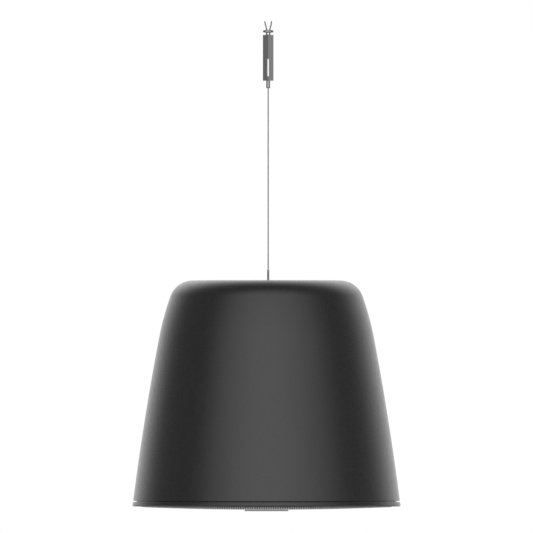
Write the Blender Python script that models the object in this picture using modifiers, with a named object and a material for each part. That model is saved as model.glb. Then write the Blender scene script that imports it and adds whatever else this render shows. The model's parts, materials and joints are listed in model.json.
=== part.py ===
"""Pendant loudspeaker: a turned bell housing with a domed perforated grille, hung on one wire.

Metres, +Z up. The origin is on the wire's axis at the underside of the anchor head's flange, where the ceiling
fitting carries the whole assembly by its neck. Inside the housing, a "depth" is a distance below the flat top
of the shell.
"""
import math

import bmesh
import bpy
from mathutils import Matrix

# Clearances
FIT = 0.0003  # between pieces that touch or are glued
BORE_FIT = 0.0003  # round a screw, pin or wire in its hole

# Anchor head and its split clip
FLANGE_RADIUS = 0.0061
FLANGE_HEIGHT = 0.0033
FLANGE_EDGE = 0.0008  # thickness left at the lens flange's rim
FLANGE_FLAT = 0.45  # share of the flange's radius that is flat on top
FLANGE_SHOULDER = 0.85  # share of its radius where the lens turns down
FLANGE_SHOULDER_DROP = 0.35  # share of its height lost by then
FLANGE_FOOT = 0.93  # share of its radius that is flat below
NECK_RADIUS = 0.0027
NECK_LENGTH = 0.0025
NECK_EYE_RADIUS = 0.0009
NECK_EYE_DROP = 0.0012
STUD_RADIUS = 0.0020
STUD_LENGTH = 0.0080
PRONG_DIAMETER = 0.00125
PRONG_HEIGHT = 0.0128  # tips above the flange's underside
PRONG_BEND = 0.0019  # width of the clip's bend, centre to centre
PRONG_OFFSET = -0.0003  # of the bend's middle from the wire's axis
PRONG_LEFT_REACH = 0.0041
PRONG_RIGHT_REACH = 0.0036
PRONG_UPRIGHT = 0.0033  # straight end of the right prong
PRONG_HOLE_RADIUS = 0.0024
PRONG_HOLE_FLOOR = 0.0009

# Gripper bar
BAR_SIDE = 0.00845
BAR_LENGTH = 0.0513
BAR_EDGE = 0.0004
WINDOW_WIDTH = 0.0040
WINDOW_LENGTH = 0.0209
WINDOW_DROP = 0.0253  # from the bar's top to the window's top
WINDOW_CORNER = 0.0012
WINDOW_TURN = math.radians(-10.5)
CHAMBER_RADIUS = 0.0033
CHAMBER_DEPTH = 0.0042
BUSH_HEIGHT = 0.0009

# Release nozzle, its spring and the collet that grips the wire
NOZZLE_RADIUS = 0.0024
NOZZLE_REACH = 0.0084  # below the bar
NOZZLE_TIP_CHAMFER = 0.0005
COLLAR_RADIUS = 0.0029
COLLAR_HEIGHT = 0.0010
NOZZLE_TRAVEL = 0.0010
SPRING_WAVE = 0.00035
SPRING_WIRE = 0.0003
SPRING_WAVES = 3
SPRING_STEPS = 12
COLLET_RADIUS = 0.0017
COLLET_LENGTH = 0.0030
COLLET_SLIT = 0.0005

# Suspension wire and ferrule
WIRE_DIAMETER = 0.0015
WIRE_FREE = 0.2028  # from the nozzle's tip to the ferrule
FERRULE_RADIUS = 0.0012
FERRULE_REACH = 0.0126
FERRULE_HEAD_RADIUS = 0.0034
FERRULE_HEAD_HEIGHT = 0.0040
FERRULE_TIP = 0.8  # share of the shank's radius left at its tip
FERRULE_FOOT = 0.6  # share of the head's radius left at its foot
HANGER_OFFSET = 0.0019  # the wire hangs this far to the +X side of the shell's axis

# Shell: a flat top, then three arcs that run tangent into each other
SHELL_FLAT_RADIUS = 0.0828
SHELL_HEIGHT = 0.2468
SHOULDER_ARC = 0.02636
SHOULDER_ANGLE = math.radians(70.3)
SIDE_ARC = 0.3135
SIDE_ANGLE = math.radians(79.2)
SKIRT_ARC = 2.965
SHELL_WALL = 0.0034
SHELL_STEPS = 44

# Baffle with its neck and rim
RIM_GAP = 0.00125
RIM_HEIGHT = 0.00505
RIM_ROUND = 0.0016
RIM_BAND = 0.0071  # width of the rim's flat underside and corner
RIM_SEAT_DEPTH = 0.0009
LEDGE_WIDTH = 0.0035
BAFFLE_RECESS = 0.0126
BAFFLE_PLATE = 0.0040

# Grille
GRILLE_EDGE_DROP = 0.0006  # how far the grille's edge shows below the rim
GRILLE_THICKNESS = 0.0012
GRILLE_SAG = 0.0030
GRILLE_MARGIN = 0.0055
HOLE_PITCH = 0.0052
HOLE_DIAMETER = 0.0032
HOLE_GROUP = 5  # one modelled hole stands for this many, both ways, at the same open share
HOLE_SIDES = 6
MAGNET_RADIUS = 0.0040
MAGNET_HEIGHT = 0.0025
MAGNET_GAP = 0.0005  # above the grille's sheet
MAGNET_INSET = 0.0132  # from the baffle's edge to a magnet's axis
MAGNET_TURN = math.radians(22.5)
MAGNET_BOSS_WALL = 0.0016
PLATE_LENGTH = 0.0490
PLATE_WIDTH = 0.0160
PLATE_THICKNESS = 0.0014
PLATE_CORNER = 0.0030

# Screws
BAFFLE_SCREW_INSET = 0.0132  # from the baffle's edge to a screw's axis
BAFFLE_SCREW_LENGTH = 0.0160
BAFFLE_BOSS_RADIUS = 0.0048
BAFFLE_BOSS_HEIGHT = 0.0200
BOSS_RIB = 0.0030
SCREW_RADIUS = 0.0020
SCREW_HEAD_RADIUS = 0.0034
SCREW_HEAD_HEIGHT = 0.0022
SCREW_HEAD_TAPER = 0.8  # share of the head's radius left at its top
SMALL_SCREW_RADIUS = 0.0011
SMALL_HEAD_RADIUS = 0.0020
SMALL_HEAD_HEIGHT = 0.0007
SMALL_SCREW_LENGTH = 0.0042

# Driver
BASKET_RADIUS = 0.0830
BASKET_SHEET = 0.0018
BASKET_FLANGE_WIDTH = 0.0105  # outside the arms
BASKET_FOLD = 0.8  # share of the sheet by which a sloping wall's faces lie apart, sideways
BASKET_DEPTH = 0.0360  # from the flange's back to the basket's floor
SPIDER_SEAT_DEPTH = 0.0270
SPIDER_SEAT_RADIUS = 0.0500
SPIDER_SEAT_WIDTH = 0.0060
BASKET_FLOOR_RADIUS = 0.0420
BASKET_BORE_RADIUS = 0.0215
BASKET_WINDOWS = 6
BASKET_ARM_WIDTH = 0.0060  # where the arms leave the spider seat
BASKET_WINDOW_MARGIN = 0.0045  # left above and below a window
CUTOUT_FIT = 0.0020
DRIVER_SCREW_INSET = 0.0033  # from the flange's edge to a screw's axis
GASKET_WIDTH = 0.0028
GASKET_HEIGHT = 0.0020
SURROUND_WIDTH = 0.0147  # of the half roll
SURROUND_SHEET = 0.0006
SURROUND_LIP = 0.0030
CONE_EDGE_INSET = 0.0013  # from the half roll's inner edge
CONE_SHEET = 0.0010
CONE_DEPTH = 0.0240
CONE_BOW = 0.0014
CONE_STEPS = 3
COIL_RADIUS = 0.0193
COIL_SHEET = 0.0007
COIL_LENGTH = 0.0285
COIL_WINDING = 0.0006
COIL_WINDING_LENGTH = 0.0100
SPIDER_SHEET = 0.0006
SPIDER_WAVE = 0.0009
SPIDER_FOLD_COUNT = 2
FRONT_PLATE_RADIUS = 0.0440
FRONT_PLATE_HEIGHT = 0.0060
FRONT_PLATE_BORE = 0.0206
MAGNET_RING_RADIUS = 0.0500
MAGNET_RING_BORE = 0.0240
MAGNET_RING_HEIGHT = 0.0150
YOKE_RADIUS = 0.0460
YOKE_HEIGHT = 0.0060
POLE_RADIUS = 0.0177
TWEETER_RADIUS = 0.0155
TWEETER_LENGTH = 0.0205
TWEETER_BEZEL_RADIUS = 0.0176
TWEETER_DOME_RADIUS = 0.0130
TWEETER_DOME_HEIGHT = 0.0040
TWEETER_DOME_EDGE = 0.0006  # height of the dome's upright edge
TWEETER_DOME_STEPS = 4

# Port
PORT_CLEARANCE = 0.0115  # from the port's bore to the driver and to the baffle's edge
PORT_WALL = 0.0020
PORT_LENGTH = 0.0500
PORT_FLANGE = 0.0040
PORT_FLANGE_SHEET = 0.0016
PORT_FLARE = 0.3  # share of the wall and flange where the flare bends

# Top bracket, transformer and safety insert
BRACKET_LENGTH = 0.1240
BRACKET_WIDTH = 0.0360
BRACKET_SHEET = 0.0025
BRACKET_SPACING = 0.1000
BOSS_RADIUS = 0.0060
BOSS_HEIGHT = 0.0080
BRACKET_SCREW_LENGTH = 0.0060
TRANSFORMER_LENGTH = 0.0420
TRANSFORMER_WIDTH = 0.0350
TRANSFORMER_HEIGHT = 0.0340
TRANSFORMER_STACK = 0.0180
TRANSFORMER_COIL_LENGTH = 0.0269
TRANSFORMER_COIL_HEIGHT = 0.0224
INSERT_RADIUS = 0.0050
INSERT_BORE = 0.0031
INSERT_FLANGE = 0.0080
INSERT_LENGTH = 0.0095
INSERT_CLEARANCE = 0.0200  # from the bracket's edge to the insert's flange

# Terminal cup, terminal block and tap selector
CUP_LENGTH = 0.0620
CUP_WIDTH = 0.0340
CUP_DEPTH = 0.0140
CUP_WALL = 0.0020
CUP_FLANGE = 0.0050
CUP_FLANGE_SHEET = 0.0017
CUP_CLEARANCE = 0.0130  # from the bracket's edge to the cup's tray
BLOCK_LENGTH = 0.0260
BLOCK_WIDTH = 0.0130
BLOCK_HEIGHT = 0.0105
BLOCK_CLEARANCE = 0.0015  # from the cup's end wall to the block
ENTRY_HEIGHT = 0.0032
ENTRY_DEPTH = 0.0039
POLES = 4
POLE_PITCH = 0.0060
POLE_BORE = 0.0021
POLE_SCREW_TOP = 0.0032  # above the block's middle
POLE_SLOT_WIDTH = 0.0006
POLE_SLOT_DEPTH = 0.0006
POLE_SLOT_TURN = math.radians(30)
SELECTOR_CLEARANCE = 0.0025  # from the cup's end wall to the knob
SELECTOR_RADIUS = 0.0110
SELECTOR_HEIGHT = 0.0120
SHAFT_RADIUS = 0.0030
SHAFT_LENGTH = 0.0080
KNOB_RADIUS = 0.0085
KNOB_HEIGHT = 0.0090
KNOB_TOP = 0.88  # share of its radius that is flat on top
KNOB_SHOULDER = 0.94  # share of its radius at the chamfer's foot
KNOB_CHAMFER = 0.0007
KNOB_STEPS = 20
KNOB_FLUTES = 6
KNOB_FLUTE_RADIUS = 0.0012
KNOB_FLUTE_INSET = 0.0004  # from a flute's axis to the knob's foot
KNOB_FLUTE_LENGTH = 0.0077
POINTER_LENGTH = 0.0068
POINTER_WIDTH = 0.0014
POINTER_DEPTH = 0.0007

# Crossover
BOARD_LENGTH = 0.0740
BOARD_WIDTH = 0.0520
BOARD_THICKNESS = 0.0016
BOARD_OFFSET = 0.0026  # from the cup's middle
INDUCTOR_RADIUS = 0.0110
INDUCTOR_BORE = 0.0040
INDUCTOR_HEIGHT = 0.0140
INDUCTOR_PLACE = 0.0207  # from the cup's middle
CAPACITOR_RADIUS = 0.0070
CAPACITOR_LENGTH = 0.0260
CAPACITOR_PLACE = -0.0178  # from the cup's middle
CAPACITOR_GAP = 0.0028  # between the two

# Wadding
WADDING_TOP = 0.0600  # below the shell's top
WADDING_CLEARANCE = 0.0396  # above the port's inner end
WADDING_THICKNESS = 0.0180
WADDING_STEPS = 2

# Places that follow from the sizes above, as heights on the wire's axis
BAR_TOP = -NECK_LENGTH
BAR_BOTTOM = BAR_TOP - BAR_LENGTH
NOZZLE_TIP = BAR_BOTTOM - NOZZLE_REACH
FERRULE_TOP = NOZZLE_TIP - WIRE_FREE
SHELL_TOP = FERRULE_TOP - FERRULE_REACH
WIRE_RADIUS = WIRE_DIAMETER / 2
WIRE_BORE = WIRE_RADIUS + BORE_FIT
CHAMBER_TOP = BAR_BOTTOM + CHAMBER_DEPTH

# Depths below the shell's top
RIM_TOP = SHELL_HEIGHT + RIM_GAP
RIM_BOTTOM = RIM_TOP + RIM_HEIGHT
LEDGE = RIM_BOTTOM - RIM_SEAT_DEPTH
BAFFLE_FRONT = LEDGE - BAFFLE_RECESS
BAFFLE_BACK = BAFFLE_FRONT - BAFFLE_PLATE
FLANGE_BACK = BAFFLE_FRONT + FIT
FLANGE_FRONT = FLANGE_BACK + BASKET_SHEET
SURROUND_BACK = FLANGE_FRONT + FIT
SPIDER_SEAT = FLANGE_BACK - SPIDER_SEAT_DEPTH + BASKET_SHEET
BASKET_FLOOR = FLANGE_BACK - BASKET_DEPTH
CONE_EDGE = SURROUND_BACK - FIT
CONE_NECK = CONE_EDGE - CONE_DEPTH
WADDING_BOTTOM = BAFFLE_FRONT - PORT_LENGTH - WADDING_CLEARANCE
BRACKET_TOP = SHELL_WALL + BOSS_HEIGHT + FIT
CUP_FLOOR = CUP_DEPTH + CUP_WALL
BOARD_TOP = CUP_FLOOR + FIT + SELECTOR_HEIGHT + FIT

# Radii of the driver that follow from its flange
BASKET_THROAT = BASKET_RADIUS - BASKET_FLANGE_WIDTH
DRIVER_SCREW_CIRCLE = BASKET_RADIUS - DRIVER_SCREW_INSET
SURROUND_EDGE = DRIVER_SCREW_CIRCLE - SCREW_HEAD_RADIUS - FIT
SURROUND_OUTER = SURROUND_EDGE - SURROUND_LIP
SURROUND_INNER = SURROUND_OUTER - SURROUND_WIDTH
CONE_EDGE_RADIUS = SURROUND_INNER - CONE_EDGE_INSET

# Places on the shell's top, from the shell's axis
CUP_PLACE = BRACKET_WIDTH / 2 + CUP_CLEARANCE + CUP_WIDTH / 2
INSERT_PLACE = -(BRACKET_WIDTH / 2 + INSERT_CLEARANCE + INSERT_FLANGE)
BLOCK_PLACE = CUP_WALL + BLOCK_CLEARANCE + BLOCK_LENGTH / 2 - CUP_LENGTH / 2
SELECTOR_PLACE = CUP_LENGTH / 2 - CUP_WALL - SELECTOR_CLEARANCE - KNOB_RADIUS


def clear_scene():
    for old in list(bpy.data.objects):
        bpy.data.objects.remove(old, do_unlink=True)


def new_collection(name):
    collection = bpy.data.collections.new(name)
    bpy.context.scene.collection.children.link(collection)
    return collection


def material(name, colour, roughness, metallic=0.0):
    made = bpy.data.materials.new(name)
    made.use_nodes = True
    shader = made.node_tree.nodes["Principled BSDF"]
    shader.inputs["Base Color"].default_value = (*colour, 1.0)
    shader.inputs["Roughness"].default_value = roughness
    shader.inputs["Metallic"].default_value = metallic
    made.diffuse_color = (*colour, 1.0)
    return made


def add_object(name, data, place=(0, 0, 0), turn=0.0, parent=None, cutter=False):
    """Links data as an object; parent gives the axis that its place is counted from."""
    made = bpy.data.objects.new(name, data)
    (CUTTERS if cutter else PARTS).objects.link(made)
    made.location = place
    made.rotation_euler.z = turn
    made.parent = parent
    if cutter:
        made.hide_render = True
        made.display_type = "WIRE"
    return made


def finish(made, look):
    """Gives the piece its own material and smooth shading with sharp corners kept."""
    made.data.materials.clear()
    made.data.materials.append(material(made.name, *look))
    made.data.shade_smooth()
    made.data.set_sharp_from_angle(angle=math.radians(35))
    return made


def turned(name, profile, look, steps=32, **where):
    """A profile of (radius, height) points turned about Z. Its ends may lie on the axis."""
    area = sum(a[0] * b[1] - b[0] * a[1] for a, b in zip(profile, profile[1:] + profile[:1]))
    if area > 0:
        profile = profile[::-1]
    on_axis = [point[0] == 0 for point in profile]
    if any(on_axis):
        count = len(profile)
        first = next(i for i in range(count) if on_axis[i] and not on_axis[(i + 1) % count])
        profile = profile[first:] + profile[:first]
    mesh = bpy.data.meshes.new(name)
    edges = [(i, i + 1) for i in range(len(profile) - 1)]
    if not any(on_axis):
        edges.append((len(profile) - 1, 0))
    mesh.from_pydata([(radius, 0, height) for radius, height in profile], edges, [])
    made = add_object(name, mesh, **where)
    screw = made.modifiers.new("turn", "SCREW")
    screw.axis = "Z"
    screw.steps = screw.render_steps = steps
    screw.use_merge_vertices = True
    screw.merge_threshold = 0.00001
    screw.use_smooth_shade = True
    if look:
        made.data.materials.append(material(name, *look))
    return made


def mesh_of(name, build):
    """A mesh filled by build, which works on a bmesh."""
    mesh = bpy.data.meshes.new(name)
    shape = bmesh.new()
    build(shape)
    shape.to_mesh(mesh)
    shape.free()
    return mesh


def block(name, size, look, edge=0.0, **where):
    """A box centred on its place, with rounded edges where an edge radius is given."""

    def build(shape):
        bmesh.ops.create_cube(shape, size=1.0, matrix=Matrix.Diagonal((*size, 1.0)))

    made = add_object(name, mesh_of(name, build), **where)
    if edge:
        bevel = made.modifiers.new("edges", "BEVEL")
        bevel.width = min(edge, 0.45 * min(size))
        bevel.segments = 1
    return finish(made, look) if look else made


def drum(name, radius, low, high, look, sides=16, centre=(0, 0), **where):
    """A cylinder along Z from low to high, off its own origin where a centre is given."""

    def build(shape):
        place = Matrix.Translation((*centre, (low + high) / 2))
        bmesh.ops.create_cone(
            shape, cap_ends=True, segments=sides, radius1=radius, radius2=radius, depth=high - low, matrix=place
        )

    made = add_object(name, mesh_of(name, build), **where)
    return finish(made, look) if look else made


def combine(made, other, operation):
    change = made.modifiers.new(other.name, "BOOLEAN")
    change.operation = operation
    change.object = other
    return made


def cut(made, other):
    return combine(made, other, "DIFFERENCE")


def join(made, other):
    return combine(made, other, "UNION")


def tube(name, points, radius, look, **where):
    """A round wire along straight stretches, as a mesh with its caps welded."""
    curve = bpy.data.curves.new(name, "CURVE")
    curve.dimensions = "3D"
    curve.bevel_depth = radius
    curve.bevel_resolution = 2
    curve.use_fill_caps = True
    line = curve.splines.new("POLY")
    line.points.add(len(points) - 1)
    for point, place in zip(line.points, points):
        point.co = (*place, 1.0)
    made = add_object(name, curve, **where)
    curve.materials.append(material(name, *look))
    return made


def to_mesh(made):
    """The same object as a mesh, with the loose caps of its curve welded."""
    bpy.context.view_layer.update()
    graph = bpy.context.evaluated_depsgraph_get()
    mesh = bpy.data.meshes.new_from_object(made.evaluated_get(graph))
    shape = bmesh.new()
    shape.from_mesh(mesh)
    bmesh.ops.remove_doubles(shape, verts=shape.verts, dist=0.000001)
    bmesh.ops.recalc_face_normals(shape, faces=shape.faces)
    shape.to_mesh(mesh)
    shape.free()
    name, place = made.name, made.matrix_world.copy()
    bpy.data.objects.remove(made, do_unlink=True)
    mesh.name = name
    fresh = add_object(name, mesh)
    fresh.matrix_world = place
    return fresh


def arc(centre, radius, start, end, count):
    """Points of (x, z) on an arc, angles counted from +X towards +Z."""
    angles = [start + (end - start) * i / count for i in range(count + 1)]
    return [(centre[0] + radius * math.cos(a), centre[1] + radius * math.sin(a)) for a in angles]


STEEL = ((0.42, 0.42, 0.43), 0.35, 1.0)
DARK_STEEL = ((0.16, 0.16, 0.165), 0.4, 0.9)
PAINT = ((0.045, 0.045, 0.047), 0.45)
PLASTIC = ((0.03, 0.03, 0.032), 0.5)
GREY_PLASTIC = ((0.25, 0.25, 0.26), 0.5)
BLACK = ((0.015, 0.015, 0.016), 0.6)
BRASS = ((0.65, 0.5, 0.25), 0.35, 1.0)


def make_anchor_head():
    """Lens-shaped flange on a short neck, with a threaded stud that enters the bar."""
    lens = FLANGE_HEIGHT - FLANGE_EDGE
    flange = [
        (0, FLANGE_HEIGHT),
        (FLANGE_FLAT * FLANGE_RADIUS, FLANGE_HEIGHT),
        (FLANGE_SHOULDER * FLANGE_RADIUS, FLANGE_HEIGHT - FLANGE_SHOULDER_DROP * lens),
        (FLANGE_RADIUS, (FLANGE_HEIGHT + FLANGE_EDGE) / 2),
        (FLANGE_RADIUS, (FLANGE_HEIGHT - FLANGE_EDGE) / 2),
        (FLANGE_FOOT * FLANGE_RADIUS, 0),
        (NECK_RADIUS, 0),
    ]
    stud = [
        (NECK_RADIUS, BAR_TOP + FIT),
        (STUD_RADIUS, BAR_TOP + FIT),
        (STUD_RADIUS, BAR_TOP - STUD_LENGTH),
        (0, BAR_TOP - STUD_LENGTH),
    ]
    head = turned("anchor_head", flange + stud, STEEL, steps=14)
    hole = drum(
        "prong_hole", PRONG_HOLE_RADIUS, PRONG_HOLE_FLOOR, FLANGE_HEIGHT + FIT, None, cutter=True
    )
    eye = drum("neck_eye", NECK_EYE_RADIUS, -2 * NECK_RADIUS, 2 * NECK_RADIUS, None, sides=10, cutter=True)
    eye.location.z = -NECK_EYE_DROP
    eye.rotation_euler.x = math.pi / 2
    return cut(cut(head, hole), eye)


def make_anchor_prongs():
    """One wire bent to a clip: its bend rests in the head and its two ends spread above it."""
    radius = PRONG_DIAMETER / 2
    half = PRONG_BEND / 2
    low = PRONG_HOLE_FLOOR + FIT + radius
    bend = arc((PRONG_OFFSET, low + half), half, math.pi, 2 * math.pi, 4)
    points = [(-PRONG_LEFT_REACH, 0, PRONG_HEIGHT)]
    points += [(x, 0, z) for x, z in bend]
    points += [(PRONG_RIGHT_REACH, 0, PRONG_HEIGHT - PRONG_UPRIGHT), (PRONG_RIGHT_REACH, 0, PRONG_HEIGHT)]
    return tube("anchor_prongs", points, radius, DARK_STEEL)


def make_gripper_body():
    """Square bar seen corner-on, with a window across it and a chamber for the nozzle."""
    centre = (BAR_TOP + BAR_BOTTOM) / 2
    bar = block(
        "gripper_body",
        (BAR_SIDE, BAR_SIDE, BAR_LENGTH),
        STEEL,
        edge=BAR_EDGE,
        place=(0, 0, centre),
        turn=math.radians(45),
    )
    window_top = BAR_TOP - WINDOW_DROP
    window = block(
        "window_cut",
        (WINDOW_WIDTH, 3 * BAR_SIDE, WINDOW_LENGTH),
        None,
        edge=WINDOW_CORNER,
        place=(0, 0, window_top - WINDOW_LENGTH / 2),
        turn=WINDOW_TURN,
        cutter=True,
    )
    stud = drum(
        "stud_hole", STUD_RADIUS + BORE_FIT, BAR_TOP - STUD_LENGTH - FIT, BAR_TOP + FIT, None, cutter=True
    )
    chamber = drum("chamber_cut", CHAMBER_RADIUS, BAR_BOTTOM - FIT, CHAMBER_TOP, None, sides=14, cutter=True)
    wire = drum("wire_hole", WIRE_BORE, BAR_BOTTOM, window_top - WINDOW_LENGTH / 2, None, cutter=True)
    for cutter in (window, stud, chamber, wire):
        cut(bar, cutter)
    return bar


def make_gripper_bush():
    """Threaded ring in the bar's lower end, which keeps the nozzle's collar in."""
    outer, inner = CHAMBER_RADIUS - FIT, NOZZLE_RADIUS + BORE_FIT
    low, high = BAR_BOTTOM, BAR_BOTTOM + BUSH_HEIGHT
    profile = [(outer, high), (outer, low), (inner, low), (inner, high)]
    return turned("gripper_bush", profile, STEEL, steps=14)


def make_release_nozzle():
    """Sleeve round the wire: pushed up into the bar, it frees the collet."""
    collar_low = BAR_BOTTOM + BUSH_HEIGHT + FIT
    collar_high = collar_low + COLLAR_HEIGHT
    pocket = collar_high - COLLET_LENGTH - NOZZLE_TRAVEL
    profile = [
        (COLLET_RADIUS + BORE_FIT, collar_high),
        (COLLAR_RADIUS, collar_high),
        (COLLAR_RADIUS, collar_low),
        (NOZZLE_RADIUS, collar_low),
        (NOZZLE_RADIUS, NOZZLE_TIP + NOZZLE_TIP_CHAMFER),
        (NOZZLE_RADIUS - NOZZLE_TIP_CHAMFER, NOZZLE_TIP),
        (WIRE_BORE, NOZZLE_TIP),
        (WIRE_BORE, pocket),
        (COLLET_RADIUS + BORE_FIT, pocket),
    ]
    return turned("release_nozzle", profile, STEEL, steps=14)


def make_nozzle_spring():
    """Wave washer between the nozzle's collar and the chamber's roof."""
    low = BAR_BOTTOM + BUSH_HEIGHT + COLLAR_HEIGHT + 2 * FIT
    high = CHAMBER_TOP - FIT
    middle = (low + high) / 2
    swing = (high - low) / 2 - SPRING_WIRE
    points = []
    for i in range(SPRING_STEPS):
        angle = 2 * math.pi * i / SPRING_STEPS
        radius = (COLLAR_RADIUS + COLLET_RADIUS) / 2 + SPRING_WAVE
        height = middle + swing * math.cos(SPRING_WAVES * angle)
        points.append((radius * math.cos(angle), radius * math.sin(angle), height))
    ring = tube("nozzle_spring", points, SPRING_WIRE, STEEL)
    ring.data.splines[0].use_cyclic_u = True
    return ring


def make_grip_collet():
    """Slit sleeve that closes on the wire inside the nozzle."""
    high = BAR_BOTTOM + BUSH_HEIGHT + FIT + COLLAR_HEIGHT
    low = high - COLLET_LENGTH + FIT
    profile = [(COLLET_RADIUS, high), (COLLET_RADIUS, low), (WIRE_BORE, low), (WIRE_BORE, high)]
    collet = turned("grip_collet", profile, BRASS, steps=12)
    slit = block(
        "collet_slit",
        (2 * COLLET_RADIUS, COLLET_SLIT, 2 * COLLET_LENGTH),
        None,
        place=(COLLET_RADIUS, 0, (low + high) / 2),
        cutter=True,
    )
    return cut(collet, slit)


def make_wire():
    """Taut steel wire from the bar's chamber down to the ferrule."""
    top = CHAMBER_TOP + FIT
    bottom = FERRULE_TOP + FIT
    return tube("suspension_wire", [(0, 0, bottom), (0, 0, top)], WIRE_RADIUS, STEEL)


def make_ferrule():
    """Swaged end of the wire: its shank passes the shell and its head bears on the bracket."""
    bearing = SHELL_TOP - BRACKET_TOP - BRACKET_SHEET - FIT
    head_low = bearing - FERRULE_HEAD_HEIGHT
    profile = [
        (0, FERRULE_TOP),
        (FERRULE_TIP * FERRULE_RADIUS, FERRULE_TOP),
        (FERRULE_RADIUS, FERRULE_TOP - FERRULE_RADIUS / 2),
        (FERRULE_RADIUS, bearing),
        (FERRULE_HEAD_RADIUS, bearing),
        (FERRULE_HEAD_RADIUS, head_low + FERRULE_HEAD_HEIGHT / 4),
        (FERRULE_FOOT * FERRULE_HEAD_RADIUS, head_low),
        (0, head_low),
    ]
    return turned("wire_ferrule", profile, STEEL, steps=14)


def shell_arcs(wall):
    """The three arcs' centres, radii and angles, as (x, depth, radius, start, end), offset inwards by wall."""
    x, depth = SHELL_FLAT_RADIUS, 0.0
    arcs = []
    for radius, start, end in (
        (SHOULDER_ARC, 0.0, SHOULDER_ANGLE),
        (SIDE_ARC, SHOULDER_ANGLE, SIDE_ANGLE),
        (SKIRT_ARC, SIDE_ANGLE, None),
    ):
        cx, cz = x - radius * math.sin(start), depth + radius * math.cos(start)
        if end is None:
            end = math.acos((cz - SHELL_HEIGHT) / (radius - wall))
        arcs.append((cx, cz, radius - wall, start, end))
        x, depth = cx + radius * math.sin(end), cz - radius * math.cos(end)
    return arcs


def shell_line(wall, counts=(6, 2, 1)):
    """Points of (radius, depth) from the flat top to the bottom edge."""
    points = []
    for (cx, cz, radius, start, end), count in zip(shell_arcs(wall), counts):
        for i in range(count + 1):
            angle = start + (end - start) * i / count
            points.append((cx + radius * math.sin(angle), cz - radius * math.cos(angle)))
    return [p for i, p in enumerate(points) if not i or math.dist(p, points[i - 1]) > 1e-7]


def wall_radius(wall, depth):
    """Radius of the shell's surface at a depth, offset inwards by wall."""
    points = shell_line(wall)
    for (r0, d0), (r1, d1) in zip(points, points[1:]):
        if d0 <= depth <= d1:
            return r0 + (r1 - r0) * (depth - d0) / (d1 - d0)
    return points[-1][0]


def baffle_edge():
    return wall_radius(SHELL_WALL + FIT, BAFFLE_BACK)


def screw_circle():
    return baffle_edge() - BAFFLE_SCREW_INSET


def magnet_circle():
    return baffle_edge() - MAGNET_INSET


def port_circle():
    """The port lies midway between the driver and the baffle's edge."""
    return (BASKET_RADIUS + baffle_edge()) / 2


def port_radius():
    return (baffle_edge() - BASKET_RADIUS) / 2 - PORT_CLEARANCE


def below(points):
    """(radius, depth) points as (radius, height)."""
    return [(radius, -depth) for radius, depth in points]


def ring_places(count, radius, first=0.0):
    for i in range(count):
        angle = first + 2 * math.pi * i / count
        yield i + 1, angle, (radius * math.cos(angle), radius * math.sin(angle))


def cup_corner_places():
    """The four screws of the terminal cup, in the middle of its flange."""
    x = (CUP_LENGTH + CUP_FLANGE) / 2
    y = (CUP_WIDTH + CUP_FLANGE) / 2
    return [(sx * x, CUP_PLACE + sy * y) for sx in (-1, 1) for sy in (-1, 1)]


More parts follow.
